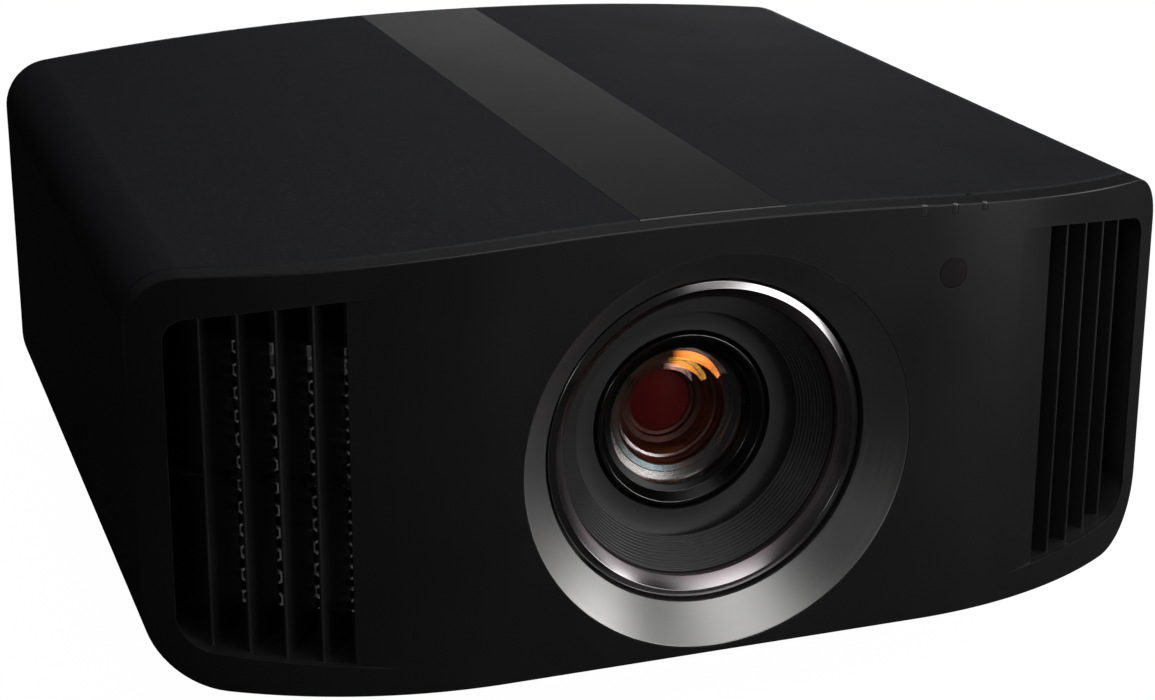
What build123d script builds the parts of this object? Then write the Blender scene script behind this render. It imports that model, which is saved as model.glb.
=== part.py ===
from build123d import *
import os
from math import atan2, cos, pi, radians, sin, sqrt

os.makedirs("parts", exist_ok=True)

# Overall size of the projector, its front face towards -Y
WIDTH = 500.0
DEPTH = 495.0
HEIGHT = 234.0
CASE_Z = 30.5
LENS_Z = 126.0
FRONT_Y = -DEPTH / 2

# Gaps: seen seams, and the space left between curved faces that slide or seat
SEAM = 0.4
FIT = 0.3

# Case shell
WALL = 3.0
SEAM_Z = 192.0
CASE_DEPTH = 482.0
REAR_HALF = 240.0
REAR_R = 22.0
CROWN_R = 1900.0
TOP_CORNER_R = 26.0
LOWER_CORNER_R = 33.0

# Front panel: flat middle, wings swept back on an arc
FLAT_HALF = 100.0
WING_R = 220.0
PANEL_DEPTH = 12.6
GROOVE = 1.5
SKIN = 3.0
PANEL_EDGE_R = 0.8
TONGUE_DEPTH = 8.0
TONGUE_T = 2.0
WING_DEPTH = WING_R - sqrt(WING_R**2 - (WIDTH / 2 - FLAT_HALF) ** 2)
FRONT_HALF = WIDTH / 2 + (WIDTH / 2 - REAR_HALF) * WING_DEPTH / (CASE_DEPTH - WING_DEPTH)
TONGUE_OUT = WALL + FIT
TONGUE_IN = TONGUE_OUT + TONGUE_T
COVER_START = PANEL_DEPTH + GROOVE

# Top trim strip
TRIM_WIDTH = 69.4
TRIM_T = 2.0
TRIM_END = 461.0
TRIM_EDGE_R = 1.7
COVER_EDGE_R = 2.4

# Front vents: lips given as heights above and below the lens axis
VENT_IN = 144.0
SCOOP_X = 166.0
SCOOP_SINK = 1.6
SCOOP_START_GAP = 0.05
VENT_OUT = 237.0
VENT_TOP_IN = 88.5
VENT_TOP_MID = 83.0
VENT_TOP_OUT = 73.5
VENT_LOW_IN = -82.5
VENT_LOW_OUT = -76.5
VENT_TOP_R = 12.0
VENT_LOW_R = 15.0
COLLAR_T = 2.0
FIN_COUNT = 4
FIN_X = 179.2
FIN_PITCH = 14.4
FIN_RECESS = 3.7
FIN_RECESS_STEP = 1.4
FIN_ANGLE = 38.0
FIN_LENGTH = 31.0
FIN_T = 1.8
RIB_Z = -6.7
RIB_T = 1.5
RIB_DEPTH = 8.0
MESH_T = 1.5
MESH_GAP = 1.0
MESH_TOP = 54.5
MESH_LOW = -70.0
MESH_IN = 152.0
MESH_OUT = 214.0
CELL_PITCH = 6.24
CELL_WEB = 0.9

# Remote sensor and indicators on the front
SENSOR_X = 110.9
SENSOR_Z = 72.7
SENSOR_R = 6.8
SENSOR_T = 6.0
LIGHT_X = 94.8
LIGHT_PITCH = 15.4
LIGHT_COUNT = 3
LIGHT_Z = 102.2
LIGHT_WIDTH = 2.6
LIGHT_TALL = 3.6

# Lens surround: radius and depth behind the front face
BEZEL_R = 92.4
BEZEL_THROAT_R = 77.0
BEZEL_THROAT = 16.0
BEZEL_T = 2.5
BEZEL_FLANGE_R = 98.0
SHELF = 30.0
SHELF_T = 3.0
SHELF_R = 70.0
RING_R = 75.7
RING_FRONT = 16.8
RING_LIP = 2.2
RING_EDGE_R = 0.7
RING_THROAT_R = 66.7
RING_THROAT = 25.9
BAFFLE_END_R = 54.3
BAFFLE_END = 40.7
BAFFLE_STEPS = 11
BAFFLE_T = 2.5
BAFFLE_FLANGE_R = 74.0

# Lens travel, and the space left round what moves
RUN_GAP = 1.5
SHIFT_V = 6.5
SHIFT_H = 5.3
FOCUS_TRAVEL = 2.0
ZOOM_TRAVEL = 18.0

# Lens barrel and cells
SHROUD_R = 65.0
SHROUD_FRONT = 42.6
SHROUD_DISH = 3.6
SHROUD_T = 2.0
BARREL_R = 50.0
BARREL_BORE_R = 43.6
BARREL_FRONT = SHROUD_FRONT + SHROUD_DISH + SHROUD_T
BARREL_STOP_R = 29.0
BARREL_TAIL_R = 48.0
BARREL_END = 200.0
FLANGE_R = 79.0
FLANGE_FRONT = 137.0
FLANGE_T = 8.0
COLLAR_R = 52.0
COLLAR_WIDTH = 3.5
CELL_R = BARREL_BORE_R - FIT
CELL_FRONT = 46.1
CELL_RIM_R = 41.1
CELL_RIM_T = 1.2
CELL_STEP_R = 36.2
CELL_STEP = 50.2
CELL_END = 84.0
CELL_WALL = 5.0
GLASS_R = 33.0
GLASS_RIM = 55.5
GLASS_SAG = 4.2
GLASS_EDGE = 4.5
LEDGE = 3.0
CELL_GAP = 10.0
ZOOM_FRONT = CELL_END + FOCUS_TRAVEL + CELL_GAP
ZOOM_LENGTH = 30.0
STOP_GAP = 24.0
BARREL_STOP = ZOOM_FRONT + ZOOM_LENGTH + ZOOM_TRAVEL + STOP_GAP
ZOOM_GLASS_R = 28.0
ZOOM_GLASS_SAG = 5.0
REAR_GLASS_R = 32.0
REAR_GLASS_SAG = 3.0

# Focus and zoom gears
MODULE = 1.0
RING_TEETH = 110
PINION_TEETH = 24
GEAR_WIDTH = 14.0
FOCUS_GEAR = 70.0
ZOOM_GEAR = 100.0
FOCUS_MOTOR_ANGLE = 135.0
ZOOM_MOTOR_ANGLE = 45.0
ADDENDUM = 0.7
DEDENDUM = 1.1
TOOTH_SHARE = 0.40
FLANK_ANGLE = 20.0
MOTOR_R = 8.5
SHAFT_R = 1.5
MOTOR_GAP = 2.0
SHAFT_LENGTH = 10.0
GEAR_CENTRES = MODULE * (RING_TEETH + PINION_TEETH) / 2

# Shift stages, stacked behind the barrel flange
STAGE_T = 14.0
STAGE_GAP = 2.0
H_STAGE = FLANGE_FRONT + FLANGE_T
V_STAGE = H_STAGE + STAGE_T + STAGE_GAP
MOUNT = V_STAGE + STAGE_T + STAGE_GAP
MOUNT_T = 10.0
H_STAGE_HALF = 76.0
H_STAGE_TALL = 70.0
V_STAGE_HALF = 92.0
V_STAGE_TALL = 72.0
MOUNT_HALF = 112.0
MOUNT_TOP = 214.0
ROD_R = 3.0
H_ROD_Z = 63.0
V_ROD_X = 76.0
LUG = 8.0
LUG_TALL = 12.0
SCREW_R = 2.5
NUT_HALF = 10.0
H_SCREW_Z = 81.0
V_SCREW_X = 102.0
SHIFT_MOTOR_R = 8.5
SHIFT_MOTOR_LENGTH = 28.0

# Chassis, light engine and cooling
CHASSIS_T = 3.0
CHASSIS_HALF = 205.0
CHASSIS_START = 130.0
CHASSIS_END = 455.0
FLOOR_Z = CASE_Z + WALL
DECK_Z = FLOOR_Z + CHASSIS_T
ENGINE_START = 206.0
ENGINE_END = 330.0
ENGINE_HALF = 80.0
ENGINE_LOW = 66.0
ENGINE_HIGH = 186.0
ENGINE_WALL = 4.0
LEG = 12.0
PRISM = 44.0
PRISM_START = 226.0
PEDESTAL = 30.0
PANEL_LONG = 38.0
PANEL_TALL = 30.0
PANEL_T = 6.0
LASER_HALF = 60.0
LASER_LENGTH = 70.0
LASER_LOW = 74.0
LASER_HIGH = 150.0
SINK_X = 125.0
SINK_OUT = 215.0
SINK_START = 150.0
SINK_END = 300.0
SINK_BASE = 6.0
SINK_TOP = 190.0
SINK_FINS = 18
SINK_FIN_T = 1.5
PIPE_R = 4.0
PIPE_COUNT = 3
PIPE_LOW = 90.0
PIPE_PITCH = 20.0
PIPE_BEND = 20.0
FAN_SIZE = 80.0
FAN_T = 25.0
FAN_BORE_R = 38.0
FAN_TIP_R = 36.5
FAN_HUB_R = 16.0
FAN_HUB_START = 3.0
FAN_HUB_LENGTH = 17.0
FAN_BASE_T = 3.0
FAN_STRUT = 4.0
FAN_BLADES = 7
FAN_CHORD = 19.0
FAN_BLADE_T = 1.6
FAN_PITCH = 38.0
FAN_SHAFT_R = 2.0

# Rear panel and what it carries
KEY_PROUD = 1.2
REAR_FACE = DEPTH - KEY_PROUD
REAR_HALF_WIDTH = 200.0
REAR_LOW = 60.0
REAR_HIGH = 176.0
REAR_CORNER_R = 12.0
REAR_FLANGE = 6.0
REAR_FLANGE_T = 3.0
REAR_EDGE_R = 2.0
BOARD_T = 1.6
BOARD = 477.0
POST_R = 3.0
KEY_R = 4.2
KEY_FLANGE_R = 5.6
KEY_FLANGE_T = 1.5
KEY_STEM_R = 2.0
KEY_TRAVEL = 0.8
KEY_EDGE_R = 0.6
KEY_X = -150.0
KEY_Z = 132.0
KEY_STEP = 13.0
KEY_SIDE = 30.0
KEY_ROW = 26.0
CONTROL_HALF = 44.0
CONTROL_TALL = 36.0
SWITCH = 6.0
SOCKET_Z = 78.0
SOCKET_WALL = 1.5
SOCKET_BACK = 2.0
VIDEO_X = -96.0
VIDEO_PITCH = 24.0
VIDEO_WIDTH = 15.0
VIDEO_TALL = 6.0
NETWORK_X = -46.0
NETWORK_WIDTH = 13.0
NETWORK_TALL = 10.0
SERIAL_X = -12.0
SERIAL_WIDTH = 19.0
SERIAL_TALL = 9.0
SERVICE_X = 16.0
SERVICE_WIDTH = 13.0
SERVICE_TALL = 6.0
JACK_X = 34.0
JACK_R = 2.8
TERMINAL_LEFT = -112.0
TERMINAL_RIGHT = 44.0
TERMINAL_LOW = 65.0
TERMINAL_HIGH = 95.0
INLET_X = -160.0
INLET_Z = 80.0
INLET_WIDTH = 28.0
INLET_TALL = 20.0
INLET_WALL = 2.5
INLET_LENGTH = 24.0
INLET_POCKET = 16.0
PIN_WIDTH = 2.0
PIN_TALL = 6.0
PIN_PITCH = 7.0
PIN_LENGTH = 12.0
GRILLE_X = -30.0
GRILLE_Z = 132.0
GRILLE_SLOTS = 14
GRILLE_PITCH = 8.0
GRILLE_WIDTH = 3.5
GRILLE_TALL = 68.0
FILTER_X = 120.0
FILTER_Z = 117.0
FILTER_WIDTH = 140.0
FILTER_TALL = 100.0
FILTER_LENGTH = 28.0
FILTER_WALL = 2.0
FILTER_FACE = 3.0
FILTER_SLOTS = 13
FILTER_PITCH = 9.5
FILTER_SLOT = 5.0
FILTER_SLOT_TALL = 78.0
PAD_T = 12.0
SLEEVE_T = 2.0
SLEEVE_LENGTH = 24.0
SCREW_HEAD_R = 3.0
SCREW_HEAD_T = 1.8
SCREW_SHANK_R = 1.5
SCREW_LENGTH = 8.0
SCREW_X = 130.0
SCREW_INSET = 3.2

# Boards and supply inside
SUPPLY_X = -150.0
SUPPLY_WIDTH = 96.0
SUPPLY_START = 200.0
SUPPLY_END = 395.0
SUPPLY_HIGH = 100.0
SUPPLY_WALL = 2.0
MAIN_POST = 5.0
CHIP = 26.0
CHIP_T = 6.0

# Feet and ceiling inserts
FOOT_X = 165.0
FOOT_FRONT = 132.0
FOOT_REAR = 425.0
FOOT_R = 24.0
FOOT_WAIST_R = 19.0
FOOT_TALL = 24.0
FOOT_PAD_T = 4.0
FOOT_TRAVEL = 5.0
STEM_R = 4.0
STEM_HOLD = 17.0
STEM_LENGTH = STEM_HOLD + FOOT_TRAVEL
BOSS_R = 15.0
BOSS_TOP = 16.0
INSERT_X = 90.0
INSERT_FRONT = 150.0
INSERT_REAR = 390.0
INSERT_R = 4.0
INSERT_BORE_R = 2.1
INSERT_LENGTH = 10.0

LENS_AXIS = Axis((0, FRONT_Y, LENS_Z), (0, 1, 0))
LENS_PLANE = Plane(origin=(0, FRONT_Y, LENS_Z), x_dir=(1, 0, 0), z_dir=(0, 0, 1))


def back(depth):
    """Upright plane facing the front, at a depth behind the front face."""
    return Plane.XZ.offset(-FRONT_Y - depth)


def front_y(x):
    """Y of the front panel's outer surface at a distance x from the middle."""
    run = max(abs(x) - FLAT_HALF, 0.0)
    return FRONT_Y + WING_R - sqrt(WING_R**2 - run**2)


def case_outline(half_width, inset):
    """Front view of the case at one half width, drawn inset from its outer face."""
    side = half_width - inset
    radius = CROWN_R - inset
    shoulder = HEIGHT - inset - radius + sqrt(radius**2 - side**2)
    with BuildSketch() as outline:
        with BuildLine():
            Polyline((-side, shoulder), (-side, CASE_Z + inset), (side, CASE_Z + inset), (side, shoulder))
            ThreePointArc((side, shoulder), (0, HEIGHT - inset), (-side, shoulder))
        make_face()
        fillet(outline.vertices().group_by(Axis.Y)[0], LOWER_CORNER_R - inset)
        fillet(outline.vertices().group_by(Axis.Y)[-1], TOP_CORNER_R - inset)
    return outline.sketch


def case_block(inset, end):
    """Tapering solid of the case, inset from its outer face, up to a depth."""
    with BuildPart() as block:
        with BuildSketch(back(0)):
            add(case_outline(FRONT_HALF, inset))
        with BuildSketch(back(end)):
            add(case_outline(REAR_HALF, inset))
        loft(ruled=True)
    return block.part


def plan_band(near, far):
    """Plan of a layer that follows the front panel, between two depths behind its surface."""
    reach = WIDTH / 2 + WALL
    end = front_y(reach)
    with BuildSketch() as band:
        with BuildLine():
            Line((-FLAT_HALF, FRONT_Y + near), (FLAT_HALF, FRONT_Y + near))
            TangentArc((FLAT_HALF, FRONT_Y + near), (reach, end + near), tangent=(1, 0))
            Line((reach, end + near), (reach, end + far))
            TangentArc((FLAT_HALF, FRONT_Y + far), (reach, end + far), tangent=(1, 0))
            Line((FLAT_HALF, FRONT_Y + far), (-FLAT_HALF, FRONT_Y + far))
            TangentArc((-FLAT_HALF, FRONT_Y + far), (-reach, end + far), tangent=(-1, 0))
            Line((-reach, end + far), (-reach, end + near))
            TangentArc((-FLAT_HALF, FRONT_Y + near), (-reach, end + near), tangent=(-1, 0))
        make_face()
    return band.sketch


def behind_panel(depth):
    """Plan of everything further back than a depth behind the front panel's surface."""
    reach = WIDTH / 2 + WALL
    end = front_y(reach) + depth
    with BuildSketch() as area:
        with BuildLine():
            Line((-FLAT_HALF, FRONT_Y + depth), (FLAT_HALF, FRONT_Y + depth))
            TangentArc((FLAT_HALF, FRONT_Y + depth), (reach, end), tangent=(1, 0))
            Polyline((reach, end), (reach, DEPTH), (-reach, DEPTH), (-reach, end))
            TangentArc((-FLAT_HALF, FRONT_Y + depth), (-reach, end), tangent=(-1, 0))
        make_face()
    return area.sketch


def vent_outline(inner, grow):
    """Front view of the right vent from an inner edge outwards, grown by a margin."""
    middle = (VENT_IN + VENT_OUT) / 2
    with BuildSketch() as vent:
        with BuildLine():
            ThreePointArc(
                (VENT_IN, LENS_Z + VENT_TOP_IN),
                (middle, LENS_Z + VENT_TOP_MID),
                (VENT_OUT, LENS_Z + VENT_TOP_OUT),
            )
            Polyline(
                (VENT_OUT, LENS_Z + VENT_TOP_OUT),
                (VENT_OUT, LENS_Z + VENT_LOW_OUT),
                (VENT_IN, LENS_Z + VENT_LOW_IN),
                (VENT_IN, LENS_Z + VENT_TOP_IN),
            )
        make_face()
        fillet(vent.vertices().group_by(Axis.X)[-1].sort_by(Axis.Y)[-1], VENT_TOP_R)
        fillet(vent.vertices().sort_by(Axis.X)[-1], VENT_LOW_R)
        if grow > 0:
            offset(amount=grow)
        with Locations(((inner + WIDTH) / 2, LENS_Z)):
            Rectangle(WIDTH - inner, 2 * HEIGHT, mode=Mode.INTERSECT)
    return vent.sketch


def gear_outline(teeth, turn):
    """Straight-flanked spur gear with one tooth centred at an angle of turn degrees."""
    pitch_r = MODULE * teeth / 2
    half = pi * MODULE * TOOTH_SHARE / 2
    slope = sin(radians(FLANK_ANGLE)) / cos(radians(FLANK_ANGLE))
    tip = (half - ADDENDUM * MODULE * slope) / (pitch_r + ADDENDUM * MODULE)
    root = (half + DEDENDUM * MODULE * slope) / (pitch_r - DEDENDUM * MODULE)
    corners = []
    for tooth in range(teeth):
        middle = radians(turn) + 2 * pi * tooth / teeth
        for reach, swing in ((-DEDENDUM, -root), (ADDENDUM, -tip), (ADDENDUM, tip), (-DEDENDUM, root)):
            radius = pitch_r + reach * MODULE
            corners.append((radius * cos(middle + swing), radius * sin(middle + swing)))
    with BuildSketch() as gear:
        with BuildLine():
            Polyline(*corners, close=True)
        make_face()
    return gear.sketch


def gear_spot(angle):
    """X and Z of a pinion that meshes with a lens ring at an angle round it."""
    return (GEAR_CENTRES * cos(radians(angle)), LENS_Z + GEAR_CENTRES * sin(radians(angle)))


def slab(x_low, x_high, start, end, z_low, z_high, mode=Mode.ADD):
    """Box between two depths behind the front face."""
    with Locations(((x_low + x_high) / 2, FRONT_Y + (start + end) / 2, (z_low + z_high) / 2)):
        Box(x_high - x_low, end - start, z_high - z_low, mode=mode)


def bar_x(radius, x_low, x_high, depth, z, mode=Mode.ADD):
    """Round bar from side to side."""
    with Locations(((x_low + x_high) / 2, FRONT_Y + depth, z)):
        Cylinder(radius, x_high - x_low, rotation=(0, 90, 0), mode=mode)


def bar_y(radius, start, end, x, z, mode=Mode.ADD):
    """Round bar from front to back."""
    with Locations((x, FRONT_Y + (start + end) / 2, z)):
        Cylinder(radius, end - start, rotation=(90, 0, 0), mode=mode)


def bar_z(radius, z_low, z_high, x, depth, mode=Mode.ADD):
    """Upright round bar."""
    with Locations((x, FRONT_Y + depth, (z_low + z_high) / 2)):
        Cylinder(radius, z_high - z_low, mode=mode)


def save(builder, name):
    """Labels one piece and writes its file."""
    builder.part.label = name
    export_step(builder.part, "parts/" + name + ".step")


# Case shell, shared by the cover and the lower case
with BuildPart() as case_solid:
    add(case_block(0, CASE_DEPTH))
    fillet(case_solid.faces().sort_by(Axis.Y)[-1].edges(), REAR_R)

with BuildPart() as case_hollow:
    add(case_block(WALL, CASE_DEPTH - WALL))
    fillet(case_hollow.faces().sort_by(Axis.Y)[-1].edges(), REAR_R - WALL)

JUST_INSIDE = case_block(FIT, CASE_DEPTH)


def rolled_edges(edges):
    """The outer edges that run along the front of the cover, behind the groove."""
    front = edges.filter_by(lambda edge: abs((edge @ 0.5).Y - front_y((edge @ 0.5).X) - COVER_START) < FIT)
    return front.filter_by(lambda edge: not JUST_INSIDE.is_inside(edge @ 0.5) and edge.length > TRIM_T)


with BuildPart() as case_shell:
    add(case_solid.part)
    add(case_hollow.part, mode=Mode.SUBTRACT)
    with BuildSketch():
        add(behind_panel(COVER_START))
    extrude(amount=2 * HEIGHT, mode=Mode.INTERSECT)
    fillet(rolled_edges(case_shell.edges()), COVER_EDGE_R)

# Top trim strip and the shallow recess it lies in
with BuildPart() as trim_layer:
    add(case_solid.part)
    add(case_block(TRIM_T, 2 * CASE_DEPTH), mode=Mode.SUBTRACT)
    with BuildSketch():
        add(behind_panel(COVER_START))
    extrude(amount=2 * HEIGHT, mode=Mode.INTERSECT)

with BuildPart() as trim_recess:
    add(trim_layer.part)
    with BuildSketch(Plane.XY.offset(SEAM_Z)):
        with Locations((0, FRONT_Y + TRIM_END / 2)):
            Rectangle(TRIM_WIDTH, TRIM_END)
    extrude(amount=HEIGHT, mode=Mode.INTERSECT)

with BuildPart() as top_trim:
    add(trim_layer.part)
    with BuildSketch(Plane.XY.offset(SEAM_Z)):
        with Locations((0, FRONT_Y + (TRIM_END - SEAM) / 2)):
            Rectangle(TRIM_WIDTH - 2 * SEAM, TRIM_END - SEAM)
    extrude(amount=HEIGHT, mode=Mode.INTERSECT)
    fillet(rolled_edges(top_trim.edges()), TRIM_EDGE_R)
save(top_trim, "top_trim")

with BuildPart() as top_cover:
    add(case_shell.part)
    split(bisect_by=Plane.XY.offset(SEAM_Z + SEAM))
    add(trim_recess.part, mode=Mode.SUBTRACT)
save(top_cover, "top_cover")

# Right front vent: the plane its mesh lies in, just behind the fins
FIN_SPOTS = [
    (FIN_X + FIN_PITCH * fin, front_y(FIN_X + FIN_PITCH * fin) + FIN_RECESS + FIN_RECESS_STEP * fin)
    for fin in range(FIN_COUNT)
]
FIN_WAY = Vector(-sin(radians(FIN_ANGLE)), cos(radians(FIN_ANGLE)), 0)
MESH_TURN = atan2(FIN_SPOTS[-1][1] - FIN_SPOTS[0][1], FIN_SPOTS[-1][0] - FIN_SPOTS[0][0])
MESH_ALONG = Vector(cos(MESH_TURN), sin(MESH_TURN), 0)
MESH_BACK = Vector(-sin(MESH_TURN), cos(MESH_TURN), 0)
FIN_ENDS = [Vector(x, y, 0) + FIN_WAY * FIN_LENGTH for x, y in FIN_SPOTS]
MESH_REACH = max(end.dot(MESH_BACK) for end in FIN_ENDS) + MESH_GAP
MESH_FOOT = MESH_BACK * MESH_REACH + Vector(0, 0, LENS_Z)
MESH_PLANE = Plane(origin=MESH_FOOT, x_dir=MESH_ALONG, z_dir=MESH_BACK * -1)


def mesh_run(x):
    """Distance along the mesh plane of the point that lies at a distance x from the middle."""
    return (x - MESH_FOOT.X) / cos(MESH_TURN)


# Front panel
with BuildPart() as panel_hollow:
    add(case_block(TONGUE_IN, CASE_DEPTH))
    with BuildSketch():
        add(behind_panel(SKIN))
    extrude(amount=2 * HEIGHT, mode=Mode.INTERSECT)

with BuildPart() as tongue:
    add(case_block(TONGUE_OUT, CASE_DEPTH))
    with BuildSketch():
        add(plan_band(SKIN, COVER_START + TONGUE_DEPTH))
    extrude(amount=2 * HEIGHT, mode=Mode.INTERSECT)

with BuildPart() as vent_holes:
    with BuildSketch(back(0)):
        add(vent_outline(SCOOP_X, 0))
    extrude(amount=-2 * WING_DEPTH)
    mirror(about=Plane.YZ)

with BuildPart() as scoops:
    scoop_turn = (VENT_IN - FLAT_HALF) / WING_R
    scoop_start = (VENT_IN, front_y(VENT_IN) - SCOOP_START_GAP)
    scoop_end = (SCOOP_X + FIN_T, front_y(SCOOP_X + FIN_T) + SCOOP_SINK)
    with BuildSketch():
        with BuildLine():
            TangentArc(scoop_start, scoop_end, tangent=(sqrt(1 - scoop_turn**2), scoop_turn))
            Polyline(scoop_end, (scoop_end[0], FRONT_Y), (VENT_IN, FRONT_Y), scoop_start)
        make_face()
    extrude(amount=2 * HEIGHT)
    with BuildSketch(back(0)):
        add(vent_outline(VENT_IN, 0))
    extrude(amount=-2 * WING_DEPTH, mode=Mode.INTERSECT)
    mirror(about=Plane.YZ)

with BuildPart() as front_panel:
    add(case_block(0, CASE_DEPTH))
    with BuildSketch():
        add(plan_band(0, PANEL_DEPTH))
    extrude(amount=2 * HEIGHT, mode=Mode.INTERSECT)
    rim = front_panel.edges().filter_by(lambda edge: abs((edge @ 0.5).Y - front_y((edge @ 0.5).X)) < FIT)
    fillet(rim.filter_by(lambda edge: abs(abs((edge @ 0.5).X) - FLAT_HALF) > FIT), PANEL_EDGE_R)
    add(tongue.part)
    add(panel_hollow.part, mode=Mode.SUBTRACT)
    add(vent_holes.part, mode=Mode.SUBTRACT)
    add(scoops.part, mode=Mode.SUBTRACT)
    with BuildSketch(back(0)):
        with Locations((0, LENS_Z)):
            Circle(BEZEL_R + FIT)
        with Locations((SENSOR_X, LENS_Z + SENSOR_Z)):
            Circle(SENSOR_R + FIT)
        with Locations(*[(LIGHT_X + LIGHT_PITCH * spot, LENS_Z + LIGHT_Z) for spot in range(LIGHT_COUNT)]):
            Rectangle(LIGHT_WIDTH + SEAM, LIGHT_TALL + SEAM)
    extrude(amount=-PANEL_DEPTH, mode=Mode.SUBTRACT)
save(front_panel, "front_panel")

with BuildPart() as sensor_window:
    with BuildSketch(back(0)):
        with Locations((SENSOR_X, LENS_Z + SENSOR_Z)):
            Circle(SENSOR_R)
    extrude(amount=-PANEL_DEPTH)
    with BuildSketch(back(SKIN)):
        with Locations((SENSOR_X, LENS_Z + SENSOR_Z)):
            Circle(SENSOR_R + SKIN)
    extrude(amount=-PANEL_DEPTH)
    with BuildSketch():
        add(plan_band(0, SENSOR_T))
    extrude(amount=2 * HEIGHT, mode=Mode.INTERSECT)
    with BuildSketch():
        add(plan_band(0, SKIN))
    extrude(amount=2 * HEIGHT, mode=Mode.SUBTRACT)
    with BuildSketch(back(0)):
        with Locations((SENSOR_X, LENS_Z + SENSOR_Z)):
            Circle(SENSOR_R)
    extrude(amount=-SENSOR_T)
    with BuildSketch():
        add(behind_panel(0))
    extrude(amount=2 * HEIGHT, mode=Mode.INTERSECT)
save(sensor_window, "sensor_window")

with BuildPart() as indicator_lights:
    with BuildSketch(back(0)):
        with Locations(*[(LIGHT_X + LIGHT_PITCH * spot, LENS_Z + LIGHT_Z) for spot in range(LIGHT_COUNT)]):
            Rectangle(LIGHT_WIDTH, LIGHT_TALL)
    extrude(amount=-PANEL_DEPTH)
    with BuildSketch():
        add(plan_band(0, PANEL_DEPTH / 2))
    extrude(amount=2 * HEIGHT, mode=Mode.INTERSECT)
save(indicator_lights, "indicator_lights")

# Louvre inserts: a collar behind the panel's opening, upright fins and one cross rib
with BuildPart() as right_louvre:
    with BuildSketch():
        for spot, end in zip(FIN_SPOTS, FIN_ENDS):
            with Locations(((spot[0] + end.X) / 2, (spot[1] + end.Y) / 2)):
                SlotOverall(FIN_LENGTH, FIN_T, rotation=90 + FIN_ANGLE)
    extrude(amount=2 * HEIGHT)
    with BuildSketch(MESH_PLANE):
        with Locations((mesh_run((VENT_IN + VENT_OUT) / 2), RIB_Z)):
            Rectangle(mesh_run(VENT_OUT + COLLAR_T) - mesh_run(VENT_IN - COLLAR_T), RIB_T)
    extrude(amount=RIB_DEPTH)
    with BuildSketch(back(0)):
        add(vent_outline(VENT_IN - COLLAR_T / 2, COLLAR_T / 2))
    extrude(amount=-2 * WING_DEPTH, mode=Mode.INTERSECT)
    with BuildSketch(back(0)):
        add(vent_outline(VENT_IN - COLLAR_T, COLLAR_T))
        add(vent_outline(VENT_IN, 0), mode=Mode.SUBTRACT)
    extrude(amount=-2 * WING_DEPTH)
    with BuildSketch():
        add(behind_panel(SKIN))
    extrude(amount=2 * HEIGHT, mode=Mode.INTERSECT)
    with BuildSketch(MESH_PLANE):
        Rectangle(DEPTH, HEIGHT)
    extrude(amount=-DEPTH, mode=Mode.SUBTRACT)
save(right_louvre, "right_louvre")

with BuildPart() as left_louvre:
    mirror(right_louvre.part, about=Plane.YZ)
save(left_louvre, "left_louvre")

MESH_ROW = CELL_PITCH * sqrt(3) / 2
MESH_ROWS = int((MESH_TOP - MESH_LOW) / MESH_ROW)
MESH_COLUMNS = int((mesh_run(MESH_OUT) - mesh_run(MESH_IN)) / CELL_PITCH)
MESH_CELLS = [
    (mesh_run(MESH_IN) + CELL_PITCH * (column + (row % 2) / 2), MESH_LOW + MESH_ROW * (row + 0.5))
    for row in range(MESH_ROWS)
    for column in range(MESH_COLUMNS)
]

with BuildPart() as vent_meshes:
    with BuildSketch(MESH_PLANE):
        with BuildLine():
            Polyline(
                (mesh_run(VENT_IN - COLLAR_T), VENT_LOW_IN - COLLAR_T),
                (mesh_run(VENT_OUT + COLLAR_T), VENT_LOW_OUT - COLLAR_T),
                (mesh_run(VENT_OUT + COLLAR_T), VENT_TOP_OUT + COLLAR_T),
                (mesh_run(VENT_IN - COLLAR_T), VENT_TOP_IN + COLLAR_T),
                close=True,
            )
        make_face()
        with Locations(*MESH_CELLS):
            RegularPolygon((CELL_PITCH - CELL_WEB) / sqrt(3), 6, rotation=30, mode=Mode.SUBTRACT)
    extrude(amount=-MESH_T)
    mirror(about=Plane.YZ)
save(vent_meshes, "vent_meshes")

# Lens surround, turned about the lens axis
with BuildPart() as bezel_room:
    add(case_block(TONGUE_IN + FIT, CASE_DEPTH))
    with BuildSketch(back(0)):
        Rectangle(2 * WIDTH, 2 * HEIGHT)
    extrude(amount=-SKIN)

with BuildPart() as lens_bezel:
    with BuildSketch(LENS_PLANE):
        with BuildLine():
            Polyline(
                (BEZEL_R, 0),
                (BEZEL_R, SKIN),
                (BEZEL_FLANGE_R, SKIN),
                (BEZEL_FLANGE_R, SKIN + BEZEL_T),
                (BEZEL_R - BEZEL_T, SKIN + BEZEL_T),
                (BEZEL_THROAT_R + BEZEL_T, BEZEL_THROAT + BEZEL_T),
                (BEZEL_THROAT_R + BEZEL_T, SHELF + SHELF_T),
                (SHELF_R, SHELF + SHELF_T),
                (SHELF_R, SHELF),
                (BEZEL_THROAT_R, SHELF),
                (BEZEL_THROAT_R, BEZEL_THROAT),
                close=True,
            )
        make_face()
    revolve(axis=LENS_AXIS)
    add(bezel_room.part, mode=Mode.INTERSECT)
save(lens_bezel, "lens_bezel")

with BuildPart() as trim_ring:
    with BuildSketch(LENS_PLANE):
        with BuildLine():
            Polyline(
                (RING_R, RING_FRONT),
                (RING_R, SHELF),
                (RING_THROAT_R, SHELF),
                (RING_THROAT_R, RING_THROAT),
                (RING_R - RING_LIP, RING_FRONT),
                close=True,
            )
        make_face()
    revolve(axis=LENS_AXIS)
    fillet(trim_ring.edges().group_by(Axis.Y)[0], RING_EDGE_R)
save(trim_ring, "trim_ring")

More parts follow.
